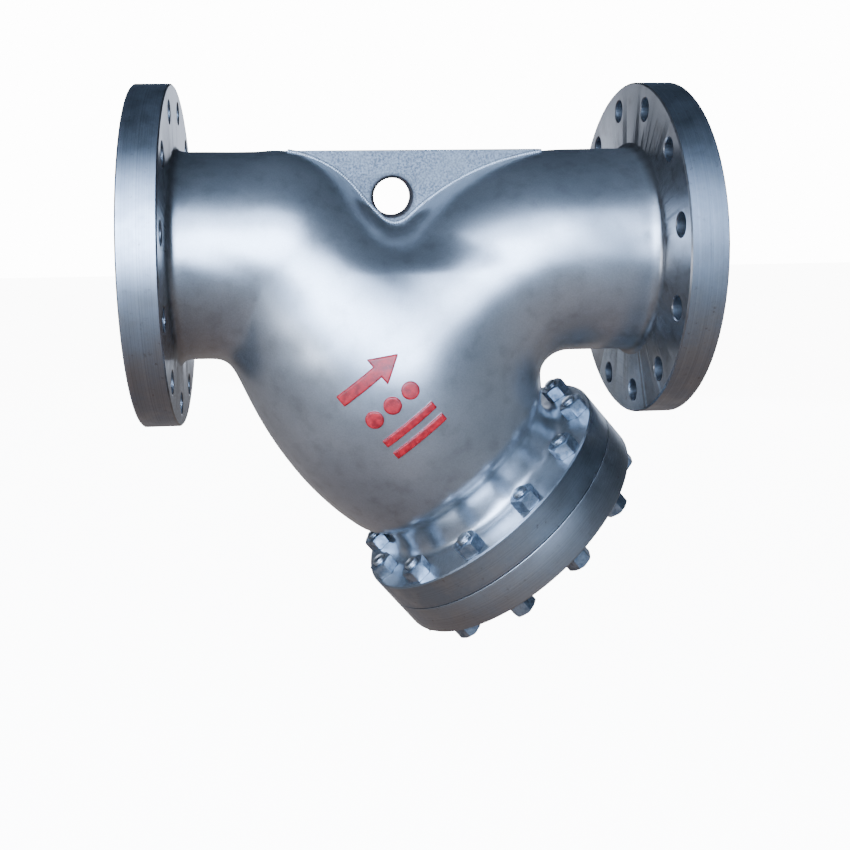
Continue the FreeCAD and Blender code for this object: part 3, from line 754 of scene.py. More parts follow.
bead_points, bead_faces = [], []
for side in (-WEB_HALF, WEB_HALF):
    path, travelled = bead_path(side)
    pool = np.abs(np.sin(np.pi * travelled / POOL_PITCH))
    wander = np.sin(travelled * 190 + side * 300) + np.sin(travelled * 71)
    radius = BEAD_RADIUS * (0.86 + 0.14 * pool + 0.05 * wander)
    points, faces = tube_along(path, radius, SIDE)
    shift = sum(len(part) for part in bead_points)
    bead_points.append(points)
    bead_faces += [[corner + shift for corner in face] for face in faces]
beads = outward_faces(new_piece("weld_beads", np.vstack(bead_points), bead_faces))
smooth(beads, 60.0)
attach(beads, "strainer_body")
print(f"weld beads: {len(beads.data.vertices)} points")

# %% [markdown]
# The marks on the barrel's front stand up from the casting and are rounded by the pattern and the
# paint.  They are a field too: a flat plan of an arrow, three pips and two bars, cut off at a
# height over the casting's own field, so that they follow its curve.

# %% Raised marks
MARK_RELIEF = 3.0 * MM
MARK_ROUND = 2.4 * MM
MARK_ROOT = 2.0 * MM
ARROW_AT, ARROW_LENGTH, ARROW_WIDTH, ARROW_HEAD = 145 * MM, 78 * MM, 13 * MM, 19 * MM
PIPS_AT, PIP_RADIUS, PIP_PITCH = 181 * MM, 9.5 * MM, 24 * MM
BARS_AT, BAR_LENGTH, BAR_WIDTH, BAR_PITCH = 217 * MM, 66 * MM, 9 * MM, 17 * MM


def bar_plan(along, off, place, start, length, width):
    """Distance to a bar on its side: length along off from start, width across."""
    middle = start + length / 2
    return np.maximum(np.abs(along - place) - width / 2, np.abs(off - middle) - length / 2)


def arrow_plan(along, off):
    """A shaft and a triangle whose three sides stand ARROW_HEAD / 2 from its centre."""
    shaft = bar_plan(along, off, ARROW_AT, -ARROW_LENGTH / 2, ARROW_LENGTH - ARROW_HEAD, ARROW_WIDTH)
    a, o = along - ARROW_AT, off - (ARROW_LENGTH / 2 - ARROW_HEAD)
    lean = math.sin(math.radians(60))
    head = np.maximum(-o, np.maximum(o / 2 + a * lean, o / 2 - a * lean)) - ARROW_HEAD / 2
    return np.minimum(shaft, head)


def marks_plan(along, off):
    """The least distance to any mark, seen square on."""
    plan = arrow_plan(along, off)
    for number in (-1, 0, 1):
        plan = np.minimum(plan, np.hypot(along - PIPS_AT, off - number * PIP_PITCH) - PIP_RADIUS)
    for number in (-0.5, 0.5):
        place = BARS_AT + number * BAR_PITCH
        plan = np.minimum(plan, bar_plan(along, off, place, -BAR_LENGTH / 2, BAR_LENGTH, BAR_WIDTH))
    return plan


def marks_field(local):
    """Plan, top and root together; local points are (along, side, off)."""
    height = casting_field(to_world(local))
    top = smooth_max(marks_plan(local[:, 0], local[:, 2]), height - MARK_RELIEF, MARK_ROUND)
    return np.maximum(top, -height - MARK_ROOT)


MARKS_FROM = (121.3 * MM, -162.0 * MM, -46.3 * MM)
MARKS_TO = (236.1 * MM, -130.0 * MM, 45.7 * MM)
points, faces = field_surface(marks_field, MARKS_FROM, MARKS_TO, 1.0 * MM)
marks = outward_faces(new_piece("marks", to_world(points), faces))
smooth(marks, 60.0)
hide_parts("cast_marks")
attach(marks, "strainer_body")
print(f"marks: {len(points)} points")

# %% [markdown]
# The cover is a thick blind disc turned from plate.  A spigot on its back presses the gasket, and a
# boss on its front carries the drain plug.  Its corners are broken with the lathe tool, so each is
# a short arc in the turned profile, and the holes are drilled through afterwards.

# %% Cover
COVER_SEAT = BONNET_FACE + 1.0 * MM
BOSS_HEIGHT = 6.0 * MM
COVER_FACE = cover_tip - BOSS_HEIGHT
BOSS_RADIUS = 40.0 * MM
CORNER = 2.2 * MM
SEAM_CORNER = 0.7 * MM


def corner_arc(along, out, radius, start, steps=5):
    """Rows of a quarter circle about (along, out), from start degrees on; 90 is outward."""
    angle = np.radians(start - np.linspace(0, 90, steps))
    return np.stack([along + radius * np.cos(angle), out + radius * np.sin(angle)], axis=1).tolist()


def cover_profile():
    """Rows (along, r): spigot, seam face, rim between two rounded corners, face, boss."""
    spigot = gasket_outside - 0.1 * MM
    return [
        [cover_back, 0.0],
        [cover_back, spigot - 0.5 * MM],
        [cover_back + 0.5 * MM, spigot],
        [COVER_SEAT, spigot],
        *corner_arc(COVER_SEAT + SEAM_CORNER, COVER_RADIUS - SEAM_CORNER, SEAM_CORNER, 180),
        *corner_arc(COVER_FACE - CORNER, COVER_RADIUS - CORNER, CORNER, 90),
        [COVER_FACE, BOSS_RADIUS + 1.5 * MM],
        [COVER_FACE + 1.5 * MM, BOSS_RADIUS],
        *corner_arc(cover_tip - 1.5 * MM, BOSS_RADIUS - 1.5 * MM, 1.5 * MM, 90),
        [cover_tip, 0.0]]


points, faces = spun(cover_profile(), 200)
cover = outward_faces(new_piece("blind_cover", to_world(points), faces))
cutter = drilled("cover_holes", STUD_RADIUS + MM, COVER_FACE - COVER_SEAT, 0.6 * MM, STUD_CIRCLE,
                 STUD_COUNT, lambda points: to_world(points + [COVER_SEAT, 0, 0]))
combine(cover, cutter, "DIFFERENCE")
plug_start, plug_end, _, _ = branch_span("drain_plug")
washer_start, washer_end, washer_inside, washer_outside = branch_span("drain_washer")
PLUG_RADIUS = washer_inside - 0.4 * MM
cutter = drilled("drain_hole", PLUG_RADIUS + 0.07 * MM, cover_tip - cover_back, 0.3 * MM, 0.0, 1,
                 lambda points: to_world(points + [cover_back, 0, 0]))
combine(cover, cutter, "DIFFERENCE")
smooth(cover, 24.0)
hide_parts("cover")
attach(cover, "cover")
print(f"cover: {len(cover.data.vertices)} points, seam face at {COVER_SEAT:.4f}")

# %% [markdown]
# The studs are threaded at both ends and plain in the middle, where they only pass through holes.
# A thread is a wave that runs round and along at once: its phase is the place along the axis, in
# pitches, less the angle, in turns.  Near each end the thread is cut off by the stud's chamfer.

# %% Studs
STUD_PITCH = 2.0 * MM
STUD_CHAMFER = 1.5 * MM
STUD_THREAD = 27.0 * MM


def threaded_rod(start, end, radius, pitch, chamfer, threads, steps=24, samples=8):
    """r = R - d (1 + cos 2 pi (t / pitch - a / 2 pi)) / 2 inside threads, R elsewhere."""
    depth = 0.6 * pitch
    every = [np.linspace(a, b, max(int((b - a) / pitch * samples), 2)) for a, b in threads]
    along = np.unique(np.concatenate([[start, end], *every]))[:, None]
    angle = np.arange(steps) * 2 * np.pi / steps
    wave = (1 + np.cos(2 * np.pi * along / pitch - angle)) / 2
    inside = sum((along >= a) & (along <= b) for a, b in threads) > 0
    out = radius - depth * wave * inside
    edge = radius - chamfer + np.minimum(along - start, end - along)
    out = np.minimum(out, np.maximum(edge, radius - chamfer))
    along = np.broadcast_to(along, out.shape)
    points = np.stack([along, out * np.cos(angle), out * np.sin(angle)], axis=-1)
    return points.reshape(-1, 3), tube_faces(*out.shape)


stud_from, stud_to = stud[:, 0].min(), stud[:, 0].max()
rod_points, rod_faces = threaded_rod(
    stud_from, stud_to, STUD_RADIUS, STUD_PITCH, STUD_CHAMFER,
    [(stud_from, stud_from + STUD_THREAD), (stud_to - STUD_THREAD, stud_to)])
for number in range(1, STUD_COUNT + 1):
    node = f"stud_{number:02d}"
    _, side, off = node_middle(node)
    rod = new_piece(f"threaded_{node}", to_world(rod_points + [0, side, off]), rod_faces)
    smooth(outward_faces(rod), 50.0)
    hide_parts(node)
    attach(rod, "strainer_body")
print(f"{STUD_COUNT} studs of {len(rod_points)} points")

# %% [markdown]
# A hexagon nut is a hexagon whose corners a cone has turned off, which leaves the curved edges
# that catch the light.  The outline's radius is the smooth least of six flats, so that its corners
# are slightly round, and the cone meets each angle at its own height.  The nuts at both ends of a
# stud are one shape, laid with a flat facing outwards.

# %% Nuts
NUT_FLATS = 27.0 * MM
NUT_HEIGHT = 16.0 * MM
CROWN_SHARE = 0.475
CORNER_SHARPNESS = 70.0
SIDE_ANGLES = np.radians([-30, -28, -25, -19, -10, 0, 10, 19, 25, 28])


def hexagon_radius(angle, flats):
    """(flats / 2) / (sum over the six sides of max(cos(a - side), 0) ^ n) ^ (1 / n)."""
    sides = np.arange(6) * np.pi / 3
    facing = np.clip(np.cos(angle[:, None] - sides), 0, None)
    return flats / 2 / (facing ** CORNER_SHARPNESS).sum(1) ** (1 / CORNER_SHARPNESS)


def hexagon_rows(flats, height):
    """Rows (along, r) by angle: seat edge, lower and upper end of the flats, crown edge."""
    angle = (np.arange(6)[:, None] * np.pi / 3 + SIDE_ANGLES).ravel()
    wide = hexagon_radius(angle, flats)
    crown = np.full_like(wide, flats * CROWN_SHARE)
    rise = np.maximum((wide - crown) / math.sqrt(3), 0.1 * MM)
    along = np.stack([0 * rise, 0.5 * rise, height - rise, 0 * rise + height])
    out = np.stack([crown + (wide - crown) / 2, wide, wide, crown])
    return along, out, angle


def nut_shape(bore):
    """The hexagon's rows, then down through the bore with a chamfer at both mouths."""
    along, out, angle = hexagon_rows(NUT_FLATS, NUT_HEIGHT)
    through = np.array([
        [NUT_HEIGHT, bore + MM], [NUT_HEIGHT - MM, bore], [MM, bore], [0.0, bore + MM]])
    even = np.ones(len(angle))
    along = np.vstack([along, through[:, :1] * even])
    out = np.vstack([out, through[:, 1:] * even])
    points = np.stack([along, out * np.cos(angle), out * np.sin(angle)], axis=-1)
    return points.reshape(-1, 3), grid_faces(*out.shape, looped=True)


def lay_nut(name, shape, seat, direction, middle):
    """A nut on the branch: along = seat + direction t, with its first flat facing outwards."""
    points, faces = shape
    outward = middle[1:] / np.linalg.norm(middle[1:])
    sideways = np.array([-outward[1], outward[0]])
    spot = middle[1:] + points[:, 1:2] * outward + points[:, 2:] * sideways
    local = np.column_stack([seat + direction * points[:, 0], spot])
    return smooth(outward_faces(new_piece(name, to_world(local), faces)), 28.0)


BORE_GAP = 0.1 * MM
nut = nut_shape(STUD_RADIUS + BORE_GAP)
for number in range(1, STUD_COUNT + 1):
    for kind, seat, direction in (("body_nut", BONNET_BACK, -1.0), ("cover_nut", COVER_FACE, 1.0)):
        node = f"{kind}_{number:02d}"
        piece = lay_nut(f"hexagon_{node}", nut, seat, direction, node_middle(node))
        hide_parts(node)
        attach(piece, node if kind == "cover_nut" else "strainer_body")
print(f"{2 * STUD_COUNT} nuts of {len(nut[0])} points")

# %% [markdown]
# The drain plug has the same hexagon, larger, on a threaded shank, and a soft copper washer seals
# it against the boss.  Head and shank are joined by a boolean, as they are one bar of steel.

# %% Drain plug and washer
PLUG_FLATS = 46.0 * MM
PLUG_PITCH = 2.3 * MM
PLUG_HEIGHT = plug_end - washer_end


def ring_profile(start, end, inside, outside, corner):
    """Closed rows (along, r) of a ring whose four corners are cut by corner."""
    return [
        [start + corner, inside], [start, inside + corner], [start, outside - corner],
        [start + corner, outside], [end - corner, outside], [end, outside - corner],
        [end, inside + corner], [end - corner, inside]]


def ring_piece(name, profile, node, body, steps=160):
    """A ring spun about the branch in place of a CAD node."""
    points, faces = spun(profile, steps)
    piece = smooth(outward_faces(new_piece(name, to_world(points), faces)), 50.0)
    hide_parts(node)
    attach(piece, body)
    print(f"{name}: {len(points)} points")


along, out, angle = hexagon_rows(PLUG_FLATS, PLUG_HEIGHT)
points = np.stack([washer_end + along, out * np.cos(angle), out * np.sin(angle)], axis=-1)
plug = outward_faces(new_piece("hexagon_plug", to_world(points.reshape(-1, 3)), tube_faces(*out.shape)))
points, faces = threaded_rod(
    plug_start, washer_end + MM, PLUG_RADIUS, PLUG_PITCH, 2 * MM,
    [(plug_start, washer_end - 2 * MM)], steps=48)
combine(plug, outward_faces(new_piece("plug_shank", to_world(points), faces)), "UNION")
smooth(plug, 28.0)
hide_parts("drain_plug")
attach(plug, "drain_plug")
ring_piece(
    "copper_washer", ring_profile(washer_start, washer_end, washer_inside, washer_outside, 0.4 * MM),
    "drain_washer", "drain_washer", 96)

# %% [markdown]
# A spiral-wound gasket is a steel strip in a V section and a soft filler, wound together like a
# clock spring, and its face shows the windings as fine rings.  A solid ring inside it keeps it from
# buckling.  The rings are drawn coarser than the real 0.8 mm so that they show.

# %% Gasket
WINDING_PITCH = 1.5 * MM
WINDING_DEPTH = 0.25 * MM


def winding_profile():
    """Closed rows (along, r): ridged front from inside to outside, ridged back again."""
    count = int((gasket_outside - gasket_bore) / WINDING_PITCH)
    out = np.linspace(gasket_bore, gasket_outside, 2 * count + 1)
    dip = WINDING_DEPTH * (np.arange(len(out)) % 2)
    front = np.stack([gasket_floor + dip, out], axis=1)
    back = np.stack([gasket_top - dip, out], axis=1)[::-1]
    return np.vstack([front, back])


ring_piece(
    "gasket_windings", winding_profile(), "gasket_winding", "strainer_body", 144)
ring_piece(
    "gasket_inner_ring", ring_profile(gasket_floor, gasket_top, ring_bore, gasket_bore, 0.3 * MM),
    "gasket_ring", "strainer_body")

# %% [markdown]
# The screen is perforated stainless sheet rolled into a tube.  Each hole is a cell: eight points
# round the hole and eight on the cell's border, with quads between them.  Every second row is
# shifted by half a cell, so a border's corners meet the middles of its neighbours' sides and the
# sheet stays closed.  A real screen has smaller holes, too many to draw one by one.

# %% Screen
HOLE_COLUMNS, HOLE_ROWS = 64, 36
HOLE_RADIUS = 2.9 * MM
PLAIN_START, PLAIN_END = 18.0 * MM, 12.0 * MM


def perforated_sheet():
    """Flat sheet in (place along, angle): border points, side points and hole points, with faces."""
    half = np.pi / HOLE_COLUMNS
    first, last = screen_start + PLAIN_START, screen_end - PLAIN_END
    pitch = (last - first) / HOLE_ROWS
    twice = 2 * HOLE_COLUMNS
    level = np.concatenate([[screen_start], first + pitch * np.arange(HOLE_ROWS + 1), [screen_end]])
    border = np.stack(np.meshgrid(level, np.arange(twice) * half, indexing="ij"), -1).reshape(-1, 2)
    row, column = np.meshgrid(np.arange(HOLE_ROWS), np.arange(HOLE_COLUMNS), indexing="ij")
    row, column = row.ravel(), column.ravel()
    left = 2 * column + row % 2
    middle = np.stack([first + (row + 0.5) * pitch, (left + 1) * half], axis=1)
    sides = middle - [0, half]
    turn = np.arange(8) * np.pi / 4
    around = np.stack([-HOLE_RADIUS * np.cos(turn), HOLE_RADIUS / screen_radius * np.sin(turn)], axis=1)
    holes = (middle[:, None] + around).reshape(-1, 2)
    side_at, hole_at = len(border), len(border) + len(sides)
    low, high = (row + 1) * twice, (row + 2) * twice
    beside = (column + 1) % HOLE_COLUMNS
    ring = [
        low + (left + 1) % twice, low + (left + 2) % twice,
        side_at + row * HOLE_COLUMNS + beside,
        high + (left + 2) % twice, high + (left + 1) % twice, high + left % twice,
        side_at + row * HOLE_COLUMNS + column, low + left % twice]
    cell = np.arange(len(row)) * 8 + hole_at
    quads = [np.stack([ring[k], ring[(k + 1) % 8], cell + (k + 1) % 8, cell + k], 1) for k in range(8)]
    rims = [np.stack([cell + k, cell + (k + 1) % 8], 1) for k in range(8)]
    step = np.arange(twice)
    beside = (step + 1) % twice
    for here in (0, (HOLE_ROWS + 1) * twice):
        ahead = here + twice
        quads.append(np.stack([here + step, here + beside, ahead + beside, ahead + step], 1))
    rims.append(np.stack([beside, step], 1))
    rims.append(np.stack([ahead + step, ahead + beside], 1))
    return np.vstack([border, sides, holes]), np.vstack(quads), np.vstack(rims)


flat, quads, rims = perforated_sheet()
place, angle = flat.T
turned = [np.stack([place, radius * np.cos(angle), radius * np.sin(angle)], axis=1)
          for radius in (screen_radius, screen_bore)]
under = quads[:, ::-1] + len(flat)
walls = np.stack([rims[:, 1], rims[:, 0], rims[:, 0] + len(flat), rims[:, 1] + len(flat)], axis=1)
sheet = new_piece("perforated_screen", to_world(np.vstack(turned)), np.vstack([quads, under, walls]))
smooth(outward_faces(sheet), 40.0)
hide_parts("screen_tube")
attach(sheet, "screen")
print(f"screen: {HOLE_COLUMNS * HOLE_ROWS} holes, {len(quads) * 2 + len(walls)} faces")
ring_piece(
    "screen_foot", ring_profile(ring_start, ring_end, ring_inside, ring_outside, 0.6 * MM),
    "screen_bottom_ring", "screen")
ring_piece(
    "screen_collar", ring_profile(top_start, top_end, ring_inside, top_outside, 0.8 * MM),
    "screen_top_ring", "screen")

# %% [markdown]
# Materials are built from nodes.  One function adds a node, sets its values and joins its inputs.
# Colours are written as the hex values that a paint chart gives and turned to linear light once.
# A pattern's scale is the number of its repeats in a metre, so it is worked out from its size in
# millimetres.  Ranges are stretched by a smooth step, so that no patch has a hard edge.  Metals
# stay rougher than 0.28, because the noise filter treats a smoother metal as a mirror, and where
# a satin one crosses that value a thin line shows.

# %% Node helpers
def linear(colour, strength=1.0):
    """'#rrggbb' to linear light: c / 12.92 near black, else ((c + 0.055) / 1.055) ^ 2.4."""
    parts = np.array([int(colour[i:i + 2], 16) / 255 for i in (1, 3, 5)])
    light = np.where(parts <= 0.04045, parts / 12.92, ((parts + 0.055) / 1.055) ** 2.4)
    return (*(light * strength).tolist(), 1.0)


def per_metre(millimetres):
    """How many repeats of a pattern of this size fit in a metre."""
    return 1000.0 / millimetres


def add(tree, kind, output, inputs=None, **settings):
    """Adds a node and gives its output; an input is given a value, or a socket to be linked to."""
    node = tree.nodes.new("ShaderNode" + kind)
    for name, value in settings.items():
        setattr(node, name, value)
    for name, value in (inputs or {}).items():
        if isinstance(value, bpy.types.NodeSocket):
            tree.links.new(value, node.inputs[name])
        else:
            node.inputs[name].default_value = value
    return node.outputs[output]


def start_material(name, **shader):
    """A node material with a Principled shader; keywords set its sockets by their plain names."""
    material = bpy.data.materials.new(name)
    material.use_nodes = True
    tree = material.node_tree
    surface = tree.nodes["Principled BSDF"].inputs
    for socket, value in shader.items():
        surface[socket.replace("_", " ").title()].default_value = value
    return material, tree, surface, add(tree, "TexCoord", "Object")


print("a hex grey of #808080 is", round(linear("#808080")[0], 3), "in linear light")

# %% [markdown]
# Most finishes follow one recipe: clouds between two shades, patches of a tint, a roughness that
# follows the clouds, and a grain from bumps.  Its steps are functions, so that the paint and the
# turned steel, which have patterns of their own, can use them too.

# %% Recipes
def tinted(tree, under, over, field, start, full, strongest=1.0):
    """Lays one colour over another where a field rises from start to full."""
    share = add(tree, "MapRange", "Result", {
        "Value": field, "From Min": start, "From Max": full, "To Max": strongest},
        interpolation_type="SMOOTHSTEP")
    return add(tree, "Mix", 2, {0: share, 6: under, 7: over}, data_type="RGBA")


def shaded(tree, colour, field, start, full, darkest, lightest):
    """Multiplies a colour by a shade that follows a field."""
    shade = add(tree, "MapRange", "Result", {
        "Value": field, "From Min": start, "From Max": full, "To Min": darkest, "To Max": lightest},
        interpolation_type="SMOOTHSTEP")
    return add(tree, "Mix", 2, {
        0: 1.0, 6: colour, 7: shade}, data_type="RGBA", blend_type="MULTIPLY")


def worked(tree, surface, colour, field, start, full, gloss, heights):
    """Links a colour, a roughness that follows a field, and bumps of (height, millimetres)."""
    tree.links.new(colour, surface["Base Color"])
    rough = add(tree, "MapRange", "Result", {
        "Value": field, "From Min": start, "From Max": full, "To Min": gloss[0], "To Max": gloss[1]},
        interpolation_type="SMOOTHSTEP")
    tree.links.new(rough, surface["Roughness"])
    normal = add(tree, "NewGeometry", "Normal")
    for height, depth in heights:
        normal = add(tree, "Bump", "Normal", {
            "Height": height, "Distance": depth * MM, "Normal": normal})
    tree.links.new(normal, surface["Normal"])


def clouded(name, size, shades, tint, gloss, bumps, **shader):
    """A finish clouded between two shades, tinted in patches, and worked to a grain.

    size is the clouds' in millimetres.  tint is a size, the noise where a patch starts and is
    full, its strongest share and its colour.  gloss is the roughness at the clouds' two ends.
    bumps are rows of a size and a depth in millimetres.
    """
    material, tree, surface, place = start_material(name, **shader)
    tint_size, start, full, strongest, tint_colour = tint
    fields = {each: add(tree, "TexNoise", "Fac", {
        "Vector": place, "Scale": per_metre(each), "Detail": 4.0, "Roughness": 0.6})
        for each in (size, tint_size, *(row[0] for row in bumps))}
    colour = tinted(tree, linear(shades[0]), linear(shades[1]), fields[size], 0.32, 0.68)
    colour = tinted(tree, colour, linear(tint_colour), fields[tint_size], start, full, strongest)
    heights = [(fields[width], depth) for width, depth in bumps]
    worked(tree, surface, colour, fields[size], 0.2, 0.8, gloss, heights)
    return material


def dress(material, *finished):
    """Gives pieces their material."""
    for piece in finished:
        piece.data.materials.clear()
        piece.data.materials.append(material)


print("recipe steps:", ", ".join(step.__name__ for step in (tinted, shaded, worked)))

# %% [markdown]
# The casting wears heat-resistant silver paint over a grit-blasted surface.  The paint's aluminium
# flakes make it a metal to the eye, with a broad satin glow, not a mirror.  The sand mould leaves
# slow waves under it, the grit a fine tooth, and handling leaves cloudy stains.  The paint is also
# darker and browner from 12 mm before each pipe flange's back onwards.

# %% Silver paint on cast steel
def silver_paint():
    """Heat-resistant aluminium paint: a satin metal, mottled, over blasted cast steel."""
    material, tree, surface, place = start_material("silver_paint_on_cast_steel", metallic=0.92)
    cloud, mottle, grit, wave = [
        add(tree, "TexNoise", "Fac", {"Vector": place, "Scale": per_metre(size), "Detail": detail})
        for size, detail in ((85, 4.0), (18, 3.0), (1.6, 1.0), (45, 0.0))]
    bright = tinted(tree, linear("#a0a5aa"), linear("#b2b6ba"), cloud, 0.3, 0.7)
    bright = shaded(tree, bright, grit, 0.2, 0.8, 0.93, 1.05)
    stain = add(tree, "MapRange", "Result", {
        "Value": mottle, "From Min": 0.45, "From Max": 0.80, "To Max": 0.22},
        interpolation_type="SMOOTHSTEP")
    # Darker and browner from 12 mm before each pipe flange's back onwards, by place along the pipe.
    along_pipe = add(tree, "SeparateXYZ", "X", {0: place})
    from_middle = add(tree, "Math", 0, {0: along_pipe, 1: PIPE_LENGTH / 2}, operation="SUBTRACT")
    from_middle = add(tree, "Math", 0, {0: from_middle}, operation="ABSOLUTE")
    flange_back = PIPE_LENGTH / 2 - FLANGE_THICK
    near_flange = add(tree, "MapRange", "Result", {
        "Value": from_middle, "From Min": flange_back - 12 * MM, "From Max": flange_back,
        "To Max": 0.75}, interpolation_type="SMOOTHSTEP")
    patch = add(tree, "Math", 0, {0: stain, 1: near_flange}, operation="ADD")
    colour = add(tree, "Mix", 2, {0: patch, 6: bright, 7: linear("#5a5450")}, data_type="RGBA")
    heights = ((wave, 0.3), (mottle, 0.02), (grit, 0.01))
    worked(tree, surface, colour, wave, 0.1, 0.9, (0.28, 0.31), heights)
    return material


paint = silver_paint()
print("material:", paint.name)

# %% [markdown]
# Turned faces are bare steel under clear oil.  The lathe's tool leaves rings on a face and lines
# round a rim, and both are one pattern: noise that changes along the axis and with the distance
# from it, but hardly at all round it.  A Mapping node turns the branch's axis onto X, so the same
# pattern serves the pipe flanges and the bonnet.

# %% Turned steel
def turned_steel(name, dark, bright, roughness, on_branch=False):
    """Lathe-turned steel: rings drawn 1.2 mm apart, coarser than the real feed, so that they show."""
    material, tree, surface, place = start_material(name, metallic=1.0)
    if on_branch:
        turn = Matrix((AXIS, SIDE, OFF)).transposed().to_euler()
        place = add(tree, "Mapping", 0, {
            "Vector": place, "Location": ROOT, "Rotation": turn}, vector_type="TEXTURE")
    along_axis = add(tree, "SeparateXYZ", "X", {0: place})
    outward = add(tree, "VectorMath", 0, {0: place, 1: (0, 1, 1)}, operation="MULTIPLY")
    distance = add(tree, "VectorMath", "Value", {0: outward}, operation="LENGTH")
    rings = add(tree, "CombineXYZ", 0, {"X": along_axis, "Y": distance})
    feed, band, cloud, spots = [
        add(tree, "TexNoise", "Fac", {"Vector": where, "Scale": per_metre(size), "Detail": 4.0,
                                      "Roughness": 0.65})
        for where, size in ((rings, 1.2), (rings, 11), (place, 46), (place, 7))]
    share = add(tree, "MapRange", "Result", {
        "Value": cloud, "From Min": 0.32, "From Max": 0.68}, interpolation_type="SMOOTHSTEP")
    share = add(tree, "Math", 0, {0: share, 1: band}, operation="MULTIPLY")
    colour = add(tree, "Mix", 2, {0: share, 6: linear(dark), 7: linear(bright)}, data_type="RGBA")
    colour = shaded(tree, colour, feed, 0.3, 0.7, 0.84, 1.06)
    colour = tinted(tree, colour, linear("#5d5148"), spots, 0.60, 0.80, 0.7)
    gloss = (roughness + 0.08, roughness - 0.05)
    worked(tree, surface, colour, cloud, 0.25, 0.75, gloss, ((band, 0.08), (feed, 0.035)))
    return material


pipe_flange_steel = turned_steel("turned_steel_pipe_flange", "#8d949c", "#b2b9c0", 0.36)
bonnet_steel = turned_steel("turned_steel_bonnet_flange", "#8d959d", "#bac1c8", 0.34, on_branch=True)
cover_steel = turned_steel("turned_steel_cover", "#95989b", "#babdc0", 0.38, on_branch=True)
print("materials:", pipe_flange_steel.name, bonnet_steel.name, cover_steel.name)

# %% [markdown]
# Inside, the casting keeps its dull phosphate primer, with rust coming through in spots.  Each of
# the casting's faces is given one of four materials by where its middle lies: on a pipe flange's
# disc, on the bonnet flange's rim, in a passage, or on the cast skin.

# %% Dressing the casting
primer = clouded(
    "phosphate_primer_in_bore", 24, ("#54565a", "#7a7a78"), (24, 0.56, 0.72, 0.5, "#6a4632"),
    (0.58, 0.74), ((24, 0.6), (2.2, 0.12)), metallic=0.25)
middles = rows_of(casting.data.polygons, "center")
along, side, off = branch_place(middles).T
from_pipe = np.hypot(middles[:, 1], middles[:, 2])
from_branch = np.hypot(side, off)
TOUCH = 0.5 * MM
from_end = np.minimum(middles[:, 0], PIPE_LENGTH - middles[:, 0])
on_disc = (from_end < FLANGE_THICK - CHAMFER) & (from_pipe > BORE_RADIUS + TOUCH)
on_bonnet = (along > BONNET_BACK + TOUCH) & (from_branch > gasket_outside - TOUCH)
in_passage = (casting_field(middles) < -5 * MM) & ~on_disc & ~on_bonnet
dress(paint, casting)
for material in (pipe_flange_steel, bonnet_steel, primer):
    casting.data.materials.append(material)
kind = np.select([on_disc, on_bonnet, in_passage], [1, 2, 3], 0).astype(np.int32)
casting.data.polygons.foreach_set("material_index", kind)
dress(cover_steel, cover)
print("faces of each kind:", np.bincount(kind).tolist())

# %% [markdown]
# Booleans leave long thin triangles, and normals averaged over them flicker in a satin finish.
# The skin's true normal is the field's slope, so every corner of a face that lies on the skin is
# given that slope, and the other corners keep theirs.

# %% Normals of the cast skin
SKIN_TOLERANCE = 0.03 * MM
WIDEST_TURN = math.radians(20)
mesh = casting.data
points = rows_of(mesh.vertices, "co")
true_normal = slope(casting_field, points)
true_normal /= np.maximum(np.linalg.norm(true_normal, axis=1, keepdims=True), 1e-9)
on_skin = np.abs(casting_field(points)) < SKIN_TOLERANCE
corner_vertex = np.empty(len(mesh.loops), np.int32)
mesh.loops.foreach_get("vertex_index", corner_vertex)
corner_normal = rows_of(mesh.corner_normals, "vector")
wanted = true_normal[corner_vertex]
agrees = on_skin[corner_vertex] & ((wanted * corner_normal).sum(1) > math.cos(WIDEST_TURN))
mesh.normals_split_custom_set(np.where(agrees[:, None], wanted, corner_normal).tolist())
print(f"{agrees.sum()} of {len(agrees)} corners take the field's normal")

# %% [markdown]
# The web is cut from plate and blasted again after welding, so it is paler than the casting and
# speckled by the grit.  The eye's bore and chamfers are painted near black as shade, and that
# painted shade spreads a little over the plate's faces, which the distance from the eye's middle
# gives.  The beads keep some of the weld's heat tint under the same thin paint: mottled light and
# dark at about the ripples' size, with brown patches.

# %% Web and weld
def plate_with_painted_eye_shade(ring):
    """Blasted plate: pale, matt, speckled at the grit's size, and painted dark as shade within ring of the eye."""
    material = clouded(
        "blasted_plate", 2.4, ("#474d53", "#7a8086"), (30, 0.40, 0.75, 0.4, "#7c8285"),
        (0.62, 0.48), ((30, 0.4), (2.4, 0.16)), metallic=0.35)
    tree = material.node_tree
    place = add(tree, "TexCoord", "Object")
    flat_place = add(tree, "VectorMath", 0, {0: place, 1: (1, 0, 1)}, operation="MULTIPLY")
    middle = (EYE[0], 0, EYE[2])
    from_eye = add(tree, "VectorMath", "Value", {0: flat_place, 1: middle}, operation="DISTANCE")
    base = tree.nodes["Principled BSDF"].inputs["Base Color"]
    plate = base.links[0].from_socket
    # Painted shade: near black at the eye's edge, fading into the plate's colour within ring of it.
    eye_shade_colour = tinted(tree, linear("#241f1e"), plate, from_eye, EYE_RADIUS, EYE_RADIUS + ring)
    tree.links.new(eye_shade_colour, base)
    return material
